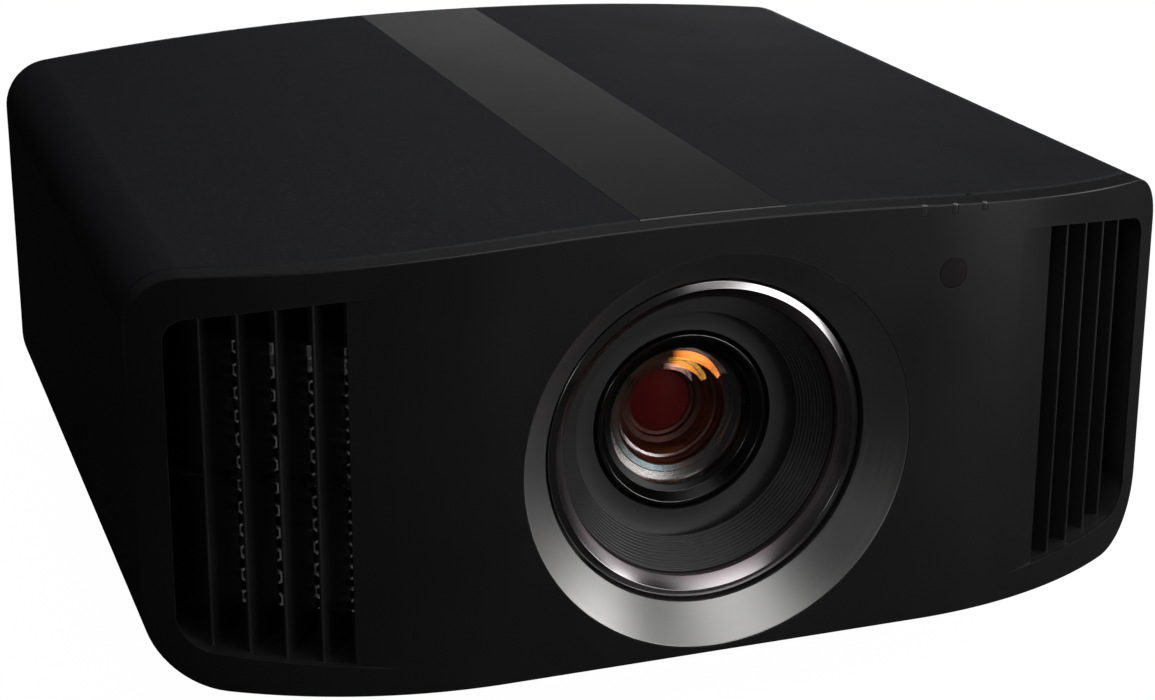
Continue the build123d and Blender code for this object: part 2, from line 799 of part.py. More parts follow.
BAFFLE_FRONT_R = RING_THROAT_R - FIT
BAFFLE_FALL = (BAFFLE_FRONT_R - BAFFLE_END_R) / BAFFLE_STEPS
BAFFLE_RUN = (BAFFLE_END - RING_THROAT) / BAFFLE_STEPS
BAFFLE_STAIR = []
for stair in range(BAFFLE_STEPS):
    BAFFLE_STAIR.append((BAFFLE_FRONT_R - BAFFLE_FALL * (stair + 1), RING_THROAT + BAFFLE_RUN * stair))
    BAFFLE_STAIR.append((BAFFLE_FRONT_R - BAFFLE_FALL * (stair + 1), RING_THROAT + BAFFLE_RUN * (stair + 1)))

with BuildPart() as lens_baffle:
    with BuildSketch(LENS_PLANE):
        with BuildLine():
            Polyline(
                (BAFFLE_FRONT_R, RING_THROAT),
                *BAFFLE_STAIR,
                (BAFFLE_END_R + BAFFLE_T, BAFFLE_END),
                (BAFFLE_FRONT_R, SHELF + SHELF_T + BAFFLE_T),
                (BAFFLE_FLANGE_R, SHELF + SHELF_T + BAFFLE_T),
                (BAFFLE_FLANGE_R, SHELF + SHELF_T),
                (BAFFLE_FRONT_R, SHELF + SHELF_T),
                close=True,
            )
        make_face()
    revolve(axis=LENS_AXIS)
save(lens_baffle, "lens_baffle")

# Lens: shroud, barrel, cells and glasses
with BuildPart() as lens_shroud:
    with BuildSketch(LENS_PLANE):
        with BuildLine():
            Polyline(
                (SHROUD_R, SHROUD_FRONT),
                (SHROUD_R, SHROUD_FRONT + SHROUD_T),
                (BARREL_R, BARREL_FRONT),
                (BARREL_BORE_R, BARREL_FRONT),
                (BARREL_BORE_R, BARREL_FRONT - SHROUD_T),
                close=True,
            )
        make_face()
    revolve(axis=LENS_AXIS)
save(lens_shroud, "lens_shroud")

GEAR_STOPS = [
    spot
    for gear in (FOCUS_GEAR, ZOOM_GEAR)
    for spot in (gear - FIT - COLLAR_WIDTH, gear + GEAR_WIDTH + FIT)
]
REAR_GLASS_START = BARREL_STOP + LEDGE

with BuildPart() as lens_barrel:
    with BuildSketch(LENS_PLANE):
        with BuildLine():
            Polyline(
                (BARREL_R, BARREL_FRONT),
                (BARREL_R, FLANGE_FRONT),
                (FLANGE_R, FLANGE_FRONT),
                (FLANGE_R, FLANGE_FRONT + FLANGE_T),
                (BARREL_TAIL_R, FLANGE_FRONT + FLANGE_T),
                (BARREL_TAIL_R, BARREL_END),
                (REAR_GLASS_R + FIT, BARREL_END),
                (REAR_GLASS_R + FIT, REAR_GLASS_START),
                (BARREL_STOP_R, REAR_GLASS_START),
                (BARREL_STOP_R, BARREL_STOP),
                (BARREL_BORE_R, BARREL_STOP),
                (BARREL_BORE_R, BARREL_FRONT),
                close=True,
            )
        make_face()
        for stop in GEAR_STOPS:
            with Locations(((BARREL_R + COLLAR_R) / 2 - FIT, stop + COLLAR_WIDTH / 2)):
                Rectangle(COLLAR_R - BARREL_R + 2 * FIT, COLLAR_WIDTH)
    revolve(axis=LENS_AXIS)
save(lens_barrel, "lens_barrel")

GLASS_SEAT = GLASS_RIM + GLASS_EDGE

with BuildPart() as front_cell:
    with BuildSketch(LENS_PLANE):
        with BuildLine():
            Polyline(
                (CELL_RIM_R, CELL_FRONT),
                (CELL_R, CELL_FRONT + CELL_R - CELL_RIM_R),
                (CELL_R, CELL_END),
                (CELL_R - CELL_WALL, CELL_END),
                (CELL_R - CELL_WALL, GLASS_SEAT + LEDGE),
                (GLASS_R - LEDGE, GLASS_SEAT + LEDGE),
                (GLASS_R - LEDGE, GLASS_SEAT),
                (GLASS_R + FIT, GLASS_SEAT),
                (GLASS_R + FIT, CELL_STEP + CELL_RIM_T),
                (CELL_STEP_R, CELL_STEP),
                (CELL_RIM_R - CELL_RIM_T, CELL_FRONT),
                close=True,
            )
        make_face()
    revolve(axis=LENS_AXIS)
save(front_cell, "front_cell")

with BuildPart() as front_glass:
    with BuildSketch(LENS_PLANE):
        with BuildLine():
            ThreePointArc(
                (-GLASS_R, GLASS_RIM),
                (0, GLASS_RIM - GLASS_SAG),
                (GLASS_R, GLASS_RIM),
            )
            Polyline((GLASS_R, GLASS_RIM), (GLASS_R, GLASS_SEAT), (-GLASS_R, GLASS_SEAT), (-GLASS_R, GLASS_RIM))
        make_face()
        with Locations((-GLASS_R, GLASS_RIM)):
            Rectangle(2 * GLASS_R, 4 * GLASS_R, mode=Mode.SUBTRACT)
    revolve(axis=LENS_AXIS)
save(front_glass, "front_glass")

ZOOM_SEAT = ZOOM_FRONT + ZOOM_GLASS_SAG + GLASS_EDGE

with BuildPart() as zoom_cell:
    with BuildSketch(LENS_PLANE):
        with BuildLine():
            Polyline(
                (CELL_R, ZOOM_FRONT),
                (CELL_R, ZOOM_FRONT + ZOOM_LENGTH),
                (CELL_R - CELL_WALL, ZOOM_FRONT + ZOOM_LENGTH),
                (CELL_R - CELL_WALL, ZOOM_SEAT + LEDGE),
                (ZOOM_GLASS_R - LEDGE, ZOOM_SEAT + LEDGE),
                (ZOOM_GLASS_R - LEDGE, ZOOM_SEAT),
                (ZOOM_GLASS_R + FIT, ZOOM_SEAT),
                (ZOOM_GLASS_R + FIT, ZOOM_FRONT),
                close=True,
            )
        make_face()
    revolve(axis=LENS_AXIS)
save(zoom_cell, "zoom_cell")

with BuildPart() as zoom_glass:
    with BuildSketch(LENS_PLANE):
        with BuildLine():
            ThreePointArc(
                (-ZOOM_GLASS_R, ZOOM_SEAT - GLASS_EDGE),
                (0, ZOOM_FRONT),
                (ZOOM_GLASS_R, ZOOM_SEAT - GLASS_EDGE),
            )
            Polyline(
                (ZOOM_GLASS_R, ZOOM_SEAT - GLASS_EDGE),
                (ZOOM_GLASS_R, ZOOM_SEAT),
                (-ZOOM_GLASS_R, ZOOM_SEAT),
                (-ZOOM_GLASS_R, ZOOM_SEAT - GLASS_EDGE),
            )
        make_face()
        with Locations((-ZOOM_GLASS_R, ZOOM_SEAT)):
            Rectangle(2 * ZOOM_GLASS_R, 4 * ZOOM_GLASS_R, mode=Mode.SUBTRACT)
    revolve(axis=LENS_AXIS)
save(zoom_glass, "zoom_glass")

with BuildPart() as rear_glass:
    with BuildSketch(LENS_PLANE):
        with BuildLine():
            Polyline(
                (-REAR_GLASS_R, REAR_GLASS_START + GLASS_EDGE),
                (-REAR_GLASS_R, REAR_GLASS_START),
                (REAR_GLASS_R, REAR_GLASS_START),
                (REAR_GLASS_R, REAR_GLASS_START + GLASS_EDGE),
            )
            ThreePointArc(
                (REAR_GLASS_R, REAR_GLASS_START + GLASS_EDGE),
                (0, REAR_GLASS_START + GLASS_EDGE + REAR_GLASS_SAG),
                (-REAR_GLASS_R, REAR_GLASS_START + GLASS_EDGE),
            )
        make_face()
        with Locations((-REAR_GLASS_R, REAR_GLASS_START)):
            Rectangle(2 * REAR_GLASS_R, 4 * REAR_GLASS_R, mode=Mode.SUBTRACT)
    revolve(axis=LENS_AXIS)
save(rear_glass, "rear_glass")

# Focus and zoom drives
with BuildPart() as focus_ring:
    with BuildSketch(back(FOCUS_GEAR)):
        with Locations((0, LENS_Z)):
            add(gear_outline(RING_TEETH, FOCUS_MOTOR_ANGLE))
            Circle(BARREL_R + FIT, mode=Mode.SUBTRACT)
    extrude(amount=-GEAR_WIDTH)
save(focus_ring, "focus_ring")

with BuildPart() as zoom_ring:
    with BuildSketch(back(ZOOM_GEAR)):
        with Locations((0, LENS_Z)):
            add(gear_outline(RING_TEETH, ZOOM_MOTOR_ANGLE))
            Circle(BARREL_R + FIT, mode=Mode.SUBTRACT)
    extrude(amount=-GEAR_WIDTH)
save(zoom_ring, "zoom_ring")

with BuildPart() as focus_pinion:
    with BuildSketch(back(FOCUS_GEAR)):
        with Locations(gear_spot(FOCUS_MOTOR_ANGLE)):
            add(gear_outline(PINION_TEETH, FOCUS_MOTOR_ANGLE + 180 + 180 / PINION_TEETH))
    extrude(amount=-GEAR_WIDTH)
    with BuildSketch(back(FOCUS_GEAR + GEAR_WIDTH)):
        with Locations(gear_spot(FOCUS_MOTOR_ANGLE)):
            Circle(SHAFT_R)
    extrude(amount=-SHAFT_LENGTH)
save(focus_pinion, "focus_pinion")

with BuildPart() as zoom_pinion:
    with BuildSketch(back(ZOOM_GEAR)):
        with Locations(gear_spot(ZOOM_MOTOR_ANGLE)):
            add(gear_outline(PINION_TEETH, ZOOM_MOTOR_ANGLE + 180 + 180 / PINION_TEETH))
    extrude(amount=-GEAR_WIDTH)
    with BuildSketch(back(ZOOM_GEAR + GEAR_WIDTH)):
        with Locations(gear_spot(ZOOM_MOTOR_ANGLE)):
            Circle(SHAFT_R)
    extrude(amount=-SHAFT_LENGTH)
save(zoom_pinion, "zoom_pinion")

with BuildPart() as lens_motors:
    for gear, angle in ((FOCUS_GEAR, FOCUS_MOTOR_ANGLE), (ZOOM_GEAR, ZOOM_MOTOR_ANGLE)):
        with BuildSketch(back(gear + GEAR_WIDTH + MOTOR_GAP)):
            with Locations(gear_spot(angle)):
                Circle(MOTOR_R)
        extrude(amount=gear + GEAR_WIDTH + MOTOR_GAP - FLANGE_FRONT)
        with BuildSketch(back(gear + GEAR_WIDTH)):
            with Locations(gear_spot(angle)):
                Circle(SHAFT_R + FIT)
        extrude(amount=-SHAFT_LENGTH - FIT, mode=Mode.SUBTRACT)
save(lens_motors, "lens_motors")

# Horizontal shift stage, which carries the barrel
H_MIDDLE = H_STAGE + STAGE_T / 2
V_MIDDLE = V_STAGE + STAGE_T / 2
H_SCREW_DEPTH = H_MIDDLE - RUN_GAP
H_SCREW_TOP = LENS_Z + H_SCREW_Z
H_ROD_SPOTS = (LENS_Z - H_ROD_Z, LENS_Z + H_ROD_Z)

with BuildPart() as horizontal_stage:
    slab(-H_STAGE_HALF, H_STAGE_HALF, H_STAGE, H_STAGE + STAGE_T, LENS_Z - H_STAGE_TALL, LENS_Z + H_STAGE_TALL)
    slab(-NUT_HALF, NUT_HALF, H_STAGE, H_STAGE + STAGE_T, LENS_Z, H_SCREW_TOP + NUT_HALF)
    bar_y(BARREL_TAIL_R + FIT, H_STAGE, V_STAGE, 0, LENS_Z, mode=Mode.SUBTRACT)
    for rod_z in H_ROD_SPOTS:
        bar_x(ROD_R + FIT, -V_STAGE_HALF, V_STAGE_HALF, H_MIDDLE, rod_z, mode=Mode.SUBTRACT)
    bar_x(SCREW_R + FIT, -H_STAGE_HALF, H_STAGE_HALF, H_SCREW_DEPTH, H_SCREW_TOP, mode=Mode.SUBTRACT)
save(horizontal_stage, "horizontal_stage")

# Vertical shift stage with its lugs, and the drive of the horizontal stage
H_MOTOR_X = V_STAGE_HALF - SHIFT_MOTOR_LENGTH
H_BRACKET_LOW = LENS_Z + H_STAGE_TALL + RUN_GAP
H_BRACKET_TOP = H_SCREW_TOP + LUG

with BuildPart() as vertical_stage:
    slab(-V_STAGE_HALF, V_STAGE_HALF, V_STAGE, V_STAGE + STAGE_T, LENS_Z - V_STAGE_TALL, LENS_Z + V_STAGE_TALL)
    for rod_z in H_ROD_SPOTS:
        for low in (-V_STAGE_HALF, V_STAGE_HALF - LUG):
            slab(low, low + LUG, H_STAGE, V_STAGE, rod_z - LUG_TALL / 2, rod_z + LUG_TALL / 2)
    for low in (-H_MOTOR_X, H_MOTOR_X - LUG / 2):
        slab(low, low + LUG / 2, V_STAGE, V_STAGE + STAGE_T, LENS_Z + H_ROD_Z, H_BRACKET_TOP)
        slab(low, low + LUG / 2, H_STAGE, V_STAGE, H_BRACKET_LOW, H_BRACKET_TOP)
    slab(0, V_SCREW_X + NUT_HALF, V_STAGE, V_STAGE + STAGE_T, LENS_Z - NUT_HALF, LENS_Z + NUT_HALF)
    for rod_z in H_ROD_SPOTS:
        bar_x(ROD_R + FIT, -V_STAGE_HALF, V_STAGE_HALF, H_MIDDLE, rod_z, mode=Mode.SUBTRACT)
    bar_x(SCREW_R + FIT, -V_STAGE_HALF, V_STAGE_HALF, H_SCREW_DEPTH, H_SCREW_TOP, mode=Mode.SUBTRACT)
    bar_y(BARREL_TAIL_R + SHIFT_H + RUN_GAP, V_STAGE, MOUNT, 0, LENS_Z, mode=Mode.SUBTRACT)
    for rod_x in (-V_ROD_X, V_ROD_X):
        bar_z(ROD_R + FIT, 0, HEIGHT, rod_x, V_MIDDLE, mode=Mode.SUBTRACT)
    bar_z(SCREW_R + FIT, 0, HEIGHT, V_SCREW_X, V_MIDDLE, mode=Mode.SUBTRACT)
save(vertical_stage, "vertical_stage")

with BuildPart() as horizontal_drive:
    for rod_z in H_ROD_SPOTS:
        bar_x(ROD_R, -V_STAGE_HALF, V_STAGE_HALF, H_MIDDLE, rod_z)
    bar_x(SHIFT_MOTOR_R, H_MOTOR_X, V_STAGE_HALF, H_SCREW_DEPTH, H_SCREW_TOP)
    bar_x(SCREW_R + FIT, H_MOTOR_X, H_MOTOR_X + LUG, H_SCREW_DEPTH, H_SCREW_TOP, mode=Mode.SUBTRACT)
save(horizontal_drive, "horizontal_drive")

with BuildPart() as horizontal_screw:
    bar_x(SCREW_R, -H_MOTOR_X, H_MOTOR_X + LUG - FIT, H_SCREW_DEPTH, H_SCREW_TOP)
save(horizontal_screw, "horizontal_screw")

# Lens mount and the drive of the vertical stage
MOUNT_HOLE_R = BARREL_TAIL_R + sqrt(SHIFT_H**2 + SHIFT_V**2) + RUN_GAP
V_MOTOR_TOP = DECK_Z + SHIFT_MOTOR_LENGTH

with BuildPart() as lens_mount:
    slab(-MOUNT_HALF, MOUNT_HALF, MOUNT, MOUNT + MOUNT_T, DECK_Z, MOUNT_TOP)
    for rod_x in (-V_ROD_X, V_ROD_X):
        slab(rod_x - LUG, rod_x + LUG, V_STAGE, MOUNT, DECK_Z, DECK_Z + LUG)
        slab(rod_x - LUG, rod_x + LUG, V_STAGE, MOUNT, MOUNT_TOP - LUG, MOUNT_TOP)
        bar_z(ROD_R + FIT, DECK_Z, MOUNT_TOP, rod_x, V_MIDDLE, mode=Mode.SUBTRACT)
    slab(V_SCREW_X - LUG, V_SCREW_X + LUG, V_STAGE, MOUNT, MOUNT_TOP - LUG, MOUNT_TOP)
    bar_z(SCREW_R + FIT, DECK_Z, MOUNT_TOP, V_SCREW_X, V_MIDDLE, mode=Mode.SUBTRACT)
    bar_y(MOUNT_HOLE_R, MOUNT, MOUNT + MOUNT_T, 0, LENS_Z, mode=Mode.SUBTRACT)
save(lens_mount, "lens_mount")

with BuildPart() as vertical_drive:
    for rod_x in (-V_ROD_X, V_ROD_X):
        bar_z(ROD_R, DECK_Z, MOUNT_TOP, rod_x, V_MIDDLE)
    bar_z(SHIFT_MOTOR_R, DECK_Z, V_MOTOR_TOP, V_SCREW_X, V_MIDDLE)
    bar_z(SCREW_R + FIT, V_MOTOR_TOP - LUG, V_MOTOR_TOP, V_SCREW_X, V_MIDDLE, mode=Mode.SUBTRACT)
save(vertical_drive, "vertical_drive")

with BuildPart() as vertical_screw:
    bar_z(SCREW_R, V_MOTOR_TOP - LUG + FIT, MOUNT_TOP, V_SCREW_X, V_MIDDLE)
save(vertical_screw, "vertical_screw")

# Chassis plate on the floor of the lower case
with BuildPart() as chassis_plate:
    slab(-CHASSIS_HALF, CHASSIS_HALF, CHASSIS_START, CHASSIS_END, FLOOR_Z, DECK_Z)
    for foot_x in (-FOOT_X, FOOT_X):
        for foot_depth in (FOOT_FRONT, FOOT_REAR):
            bar_z(BOSS_R + RUN_GAP, FLOOR_Z, DECK_Z, foot_x, foot_depth, mode=Mode.SUBTRACT)
    for insert_x in (-INSERT_X, INSERT_X):
        for insert_depth in (INSERT_FRONT, INSERT_REAR):
            bar_z(2 * INSERT_R + RUN_GAP, FLOOR_Z, DECK_Z, insert_x, insert_depth, mode=Mode.SUBTRACT)
save(chassis_plate, "chassis_plate")

# Light engine
PRISM_MIDDLE = PRISM_START + PRISM / 2
PRISM_LOW = LENS_Z - PRISM / 2

with BuildPart() as engine_case:
    slab(-ENGINE_HALF, ENGINE_HALF, ENGINE_START, ENGINE_END, ENGINE_LOW, ENGINE_HIGH)
    slab(
        ENGINE_WALL - ENGINE_HALF,
        ENGINE_HALF - ENGINE_WALL,
        ENGINE_START,
        ENGINE_END - ENGINE_WALL,
        ENGINE_LOW + ENGINE_WALL,
        ENGINE_HIGH - ENGINE_WALL,
        mode=Mode.SUBTRACT,
    )
    slab(
        -PEDESTAL / 2,
        PEDESTAL / 2,
        PRISM_MIDDLE - PEDESTAL / 2,
        PRISM_MIDDLE + PEDESTAL / 2,
        ENGINE_LOW,
        PRISM_LOW,
    )
    for low in (-ENGINE_HALF, ENGINE_HALF - LEG):
        for start in (ENGINE_START, ENGINE_END - LEG):
            slab(low, low + LEG, start, start + LEG, DECK_Z, ENGINE_LOW)
save(engine_case, "engine_case")

with BuildPart() as prism_block:
    slab(-PRISM / 2, PRISM / 2, PRISM_START, PRISM_START + PRISM, PRISM_LOW, PRISM_LOW + PRISM)
    for low in (-PRISM / 2 - PANEL_T, PRISM / 2):
        slab(
            low,
            low + PANEL_T,
            PRISM_MIDDLE - PANEL_LONG / 2,
            PRISM_MIDDLE + PANEL_LONG / 2,
            LENS_Z - PANEL_TALL / 2,
            LENS_Z + PANEL_TALL / 2,
        )
    slab(
        -PANEL_LONG / 2,
        PANEL_LONG / 2,
        PRISM_START + PRISM,
        PRISM_START + PRISM + PANEL_T,
        LENS_Z - PANEL_TALL / 2,
        LENS_Z + PANEL_TALL / 2,
    )
save(prism_block, "prism_block")

LASER_END = ENGINE_END + LASER_LENGTH

with BuildPart() as laser_source:
    slab(-LASER_HALF, LASER_HALF, ENGINE_END, LASER_END, LASER_LOW, LASER_HIGH)
save(laser_source, "laser_source")

# Heat sink with its heat pipes, one soldered piece in practice
SINK_PITCH = (SINK_TOP - DECK_Z - SINK_FIN_T) / SINK_FINS
PIPE_DEPTH = ENGINE_END + LASER_LENGTH / 2
PIPE_END = (SINK_START + SINK_END) / 2

with BuildPart() as heat_sink:
    slab(SINK_X, SINK_X + SINK_BASE, SINK_START, SINK_END, DECK_Z, SINK_TOP)
    for fin in range(1, SINK_FINS + 1):
        fin_z = DECK_Z + SINK_PITCH * fin
        slab(SINK_X, SINK_OUT, SINK_START, SINK_END, fin_z, fin_z + SINK_FIN_T)
    for pipe in range(PIPE_COUNT):
        pipe_z = PIPE_LOW + PIPE_PITCH * pipe
        with BuildLine() as pipe_path:
            FilletPolyline(
                (LASER_HALF, FRONT_Y + PIPE_DEPTH, pipe_z),
                (SINK_X, FRONT_Y + PIPE_DEPTH, pipe_z),
                (SINK_X, FRONT_Y + PIPE_END, pipe_z),
                radius=PIPE_BEND,
            )
        with BuildSketch(Plane(origin=pipe_path.line @ 0, z_dir=pipe_path.line % 0)):
            Circle(PIPE_R)
        sweep(path=pipe_path.line)
save(heat_sink, "heat_sink")

# Exhaust fans behind the vent meshes
FAN_FOOT = MESH_FOOT + MESH_ALONG * mesh_run((MESH_IN + MESH_OUT) / 2) + MESH_BACK * MESH_T
FAN_PLANE = Plane(
    origin=FAN_FOOT + Vector(0, 0, (MESH_TOP + MESH_LOW) / 2),
    x_dir=MESH_ALONG,
    z_dir=MESH_BACK * -1,
)

with BuildPart() as fan_frames:
    with BuildSketch(FAN_PLANE):
        RectangleRounded(FAN_SIZE, FAN_SIZE, FAN_STRUT)
        Circle(FAN_BORE_R, mode=Mode.SUBTRACT)
    extrude(amount=-FAN_T)
    with BuildSketch(FAN_PLANE.offset(FAN_BASE_T - FAN_T)):
        Circle(FAN_HUB_R)
        Rectangle(FAN_STRUT, 2 * FAN_BORE_R + FAN_STRUT / 2)
        Rectangle(2 * FAN_BORE_R + FAN_STRUT / 2, FAN_STRUT)
        Circle(FAN_SHAFT_R + FIT, mode=Mode.SUBTRACT)
    extrude(amount=-FAN_BASE_T)
    mirror(about=Plane.YZ)
save(fan_frames, "fan_frames")

with BuildPart() as right_rotor:
    with BuildSketch(FAN_PLANE.offset(-FAN_HUB_START)):
        Circle(FAN_HUB_R)
    extrude(amount=-FAN_HUB_LENGTH)
    with BuildSketch(FAN_PLANE.offset(-FAN_HUB_START)):
        Circle(FAN_SHAFT_R)
    extrude(amount=FAN_HUB_START - FAN_T + FIT)
    for blade in range(FAN_BLADES):
        blade_plane = Plane(FAN_PLANE.location * Rotation(0, 0, 360 * blade / FAN_BLADES))
        blade_root = blade_plane.from_local_coords((FAN_HUB_R / 2, 0, -FAN_HUB_START - FAN_HUB_LENGTH / 2))
        with BuildSketch(Plane(origin=blade_root, x_dir=blade_plane.y_dir, z_dir=blade_plane.x_dir)):
            Rectangle(FAN_CHORD, FAN_BLADE_T, rotation=FAN_PITCH)
        extrude(amount=FAN_TIP_R - FAN_HUB_R / 2)
save(right_rotor, "right_rotor")

with BuildPart() as left_rotor:
    mirror(right_rotor.part, about=Plane.YZ)
save(left_rotor, "left_rotor")

# Rear panel: a raised tray with a flange inside the case
REAR_INNER = REAR_FACE - WALL
FLANGE_DEPTH = CASE_DEPTH - WALL
REAR_MIDDLE_Z = (REAR_LOW + REAR_HIGH) / 2
REAR_TALL = REAR_HIGH - REAR_LOW
SCREW_SPOTS = [
    (x, z)
    for x in (-SCREW_X, 0, SCREW_X)
    for z in (REAR_LOW - SCREW_INSET, REAR_HIGH + SCREW_INSET)
]
KEY_SPOTS = {
    "power_key": (KEY_X - KEY_SIDE, KEY_Z + KEY_ROW),
    "input_key": (KEY_X + KEY_SIDE, KEY_Z + KEY_ROW),
    "menu_key": (KEY_X - KEY_SIDE, KEY_Z - KEY_ROW),
    "back_key": (KEY_X + KEY_SIDE, KEY_Z - KEY_ROW),
    "ok_key": (KEY_X, KEY_Z),
    "up_key": (KEY_X, KEY_Z + KEY_STEP),
    "down_key": (KEY_X, KEY_Z - KEY_STEP),
    "left_key": (KEY_X - KEY_STEP, KEY_Z),
    "right_key": (KEY_X + KEY_STEP, KEY_Z),
}
VIDEO_SPOTS = [(VIDEO_X, SOCKET_Z), (VIDEO_X + VIDEO_PITCH, SOCKET_Z)]
SOCKETS = [
    (VIDEO_SPOTS[0], VIDEO_WIDTH, VIDEO_TALL),
    (VIDEO_SPOTS[1], VIDEO_WIDTH, VIDEO_TALL),
    ((NETWORK_X, SOCKET_Z), NETWORK_WIDTH, NETWORK_TALL),
    ((SERIAL_X, SOCKET_Z), SERIAL_WIDTH, SERIAL_TALL),
    ((SERVICE_X, SOCKET_Z), SERVICE_WIDTH, SERVICE_TALL),
]
GRILLE_LEFT = GRILLE_X - GRILLE_PITCH * (GRILLE_SLOTS - 1) / 2
TERMINAL_POSTS = [(x, TERMINAL_HIGH - POST_R) for x in (TERMINAL_LEFT + POST_R, TERMINAL_RIGHT - POST_R)]
CONTROL_POSTS = [
    (KEY_X + side * (CONTROL_HALF - POST_R), KEY_Z + rise * (CONTROL_TALL - POST_R))
    for side in (-1, 1)
    for rise in (-1, 1)
]

with BuildPart() as rear_panel:
    with BuildSketch(back(REAR_FACE)):
        with Locations((0, REAR_MIDDLE_Z)):
            RectangleRounded(2 * REAR_HALF_WIDTH, REAR_TALL, REAR_CORNER_R)
    extrude(amount=REAR_FACE - FLANGE_DEPTH)
    fillet(rear_panel.faces().sort_by(Axis.Y)[-1].edges(), REAR_EDGE_R)
    with BuildSketch(back(FLANGE_DEPTH)):
        with Locations((0, REAR_MIDDLE_Z)):
            RectangleRounded(
                2 * REAR_HALF_WIDTH + 2 * REAR_FLANGE,
                REAR_TALL + 2 * REAR_FLANGE,
                REAR_CORNER_R + REAR_FLANGE,
            )
    extrude(amount=REAR_FLANGE_T)
    with BuildSketch(back(REAR_INNER)):
        with Locations((0, REAR_MIDDLE_Z)):
            RectangleRounded(2 * REAR_HALF_WIDTH - 2 * WALL, REAR_TALL - 2 * WALL, REAR_CORNER_R - WALL)
    extrude(amount=REAR_INNER - FLANGE_DEPTH + REAR_FLANGE_T, mode=Mode.SUBTRACT)
    slab(
        FILTER_X - FILTER_WIDTH / 2 - FIT - SLEEVE_T,
        FILTER_X + FILTER_WIDTH / 2 + FIT + SLEEVE_T,
        REAR_FACE - SLEEVE_LENGTH,
        REAR_INNER,
        FILTER_Z - FILTER_TALL / 2 - FIT - SLEEVE_T,
        FILTER_Z + FILTER_TALL / 2 + FIT + SLEEVE_T,
    )
    slab(
        FILTER_X - FILTER_WIDTH / 2 - FIT,
        FILTER_X + FILTER_WIDTH / 2 + FIT,
        REAR_FACE - SLEEVE_LENGTH,
        REAR_FACE,
        FILTER_Z - FILTER_TALL / 2 - FIT,
        FILTER_Z + FILTER_TALL / 2 + FIT,
        mode=Mode.SUBTRACT,
    )
    with BuildSketch(back(REAR_FACE)):
        with Locations(*KEY_SPOTS.values()):
            Circle(KEY_R + FIT)
        for spot, socket_width, socket_tall in SOCKETS:
            with Locations(spot):
                Rectangle(socket_width + 2 * SOCKET_WALL + SEAM, socket_tall + 2 * SOCKET_WALL + SEAM)
        with Locations((JACK_X, SOCKET_Z)):
            Circle(JACK_R + SOCKET_WALL + FIT)
        with Locations((INLET_X, INLET_Z)):
            Rectangle(INLET_WIDTH + 2 * INLET_WALL + SEAM, INLET_TALL + 2 * INLET_WALL + SEAM)
        with Locations(*[(GRILLE_LEFT + GRILLE_PITCH * slot, GRILLE_Z) for slot in range(GRILLE_SLOTS)]):
            SlotOverall(GRILLE_TALL, GRILLE_WIDTH, rotation=90)
    extrude(amount=WALL, mode=Mode.SUBTRACT)
    with BuildSketch(back(REAR_INNER)):
        with Locations(*TERMINAL_POSTS, *CONTROL_POSTS):
            Circle(POST_R)
    extrude(amount=REAR_INNER - BOARD - BOARD_T)
    with BuildSketch(back(FLANGE_DEPTH)):
        with Locations(*SCREW_SPOTS):
            Circle(SCREW_SHANK_R + FIT)
    extrude(amount=REAR_FLANGE_T, mode=Mode.SUBTRACT)
save(rear_panel, "rear_panel")

with BuildPart() as case_screws:
    with BuildSketch(back(CASE_DEPTH + SCREW_HEAD_T)):
        with Locations(*SCREW_SPOTS):
            Circle(SCREW_HEAD_R)
    extrude(amount=SCREW_HEAD_T)
    with BuildSketch(back(CASE_DEPTH)):
        with Locations(*SCREW_SPOTS):
            Circle(SCREW_SHANK_R)
    extrude(amount=SCREW_LENGTH)
    with BuildSketch(back(CASE_DEPTH + SCREW_HEAD_T)):
        with Locations(*SCREW_SPOTS):
            Rectangle(SCREW_SHANK_R / 2, 2 * SCREW_SHANK_R)
            Rectangle(2 * SCREW_SHANK_R, SCREW_SHANK_R / 2)
    extrude(amount=SCREW_HEAD_T / 2, mode=Mode.SUBTRACT)
save(case_screws, "case_screws")

# Control keys
SWITCH_TOP = BOARD + BOARD_T + SWITCH / 2

for key, spot in KEY_SPOTS.items():
    with BuildPart() as key_cap:
        bar_y(KEY_R, REAR_INNER, DEPTH, *spot)
        fillet(key_cap.faces().sort_by(Axis.Y)[-1].edges(), KEY_EDGE_R)
        bar_y(KEY_FLANGE_R, REAR_INNER - KEY_FLANGE_T, REAR_INNER, *spot)
        bar_y(KEY_STEM_R, SWITCH_TOP + KEY_TRAVEL, REAR_INNER, *spot)
    save(key_cap, key)

# Boards with what is soldered to them
SUPPLY_LEFT = SUPPLY_X - SUPPLY_WIDTH / 2
SUPPLY_RIGHT = SUPPLY_X + SUPPLY_WIDTH / 2
MAIN_Z = SUPPLY_HIGH + MAIN_POST

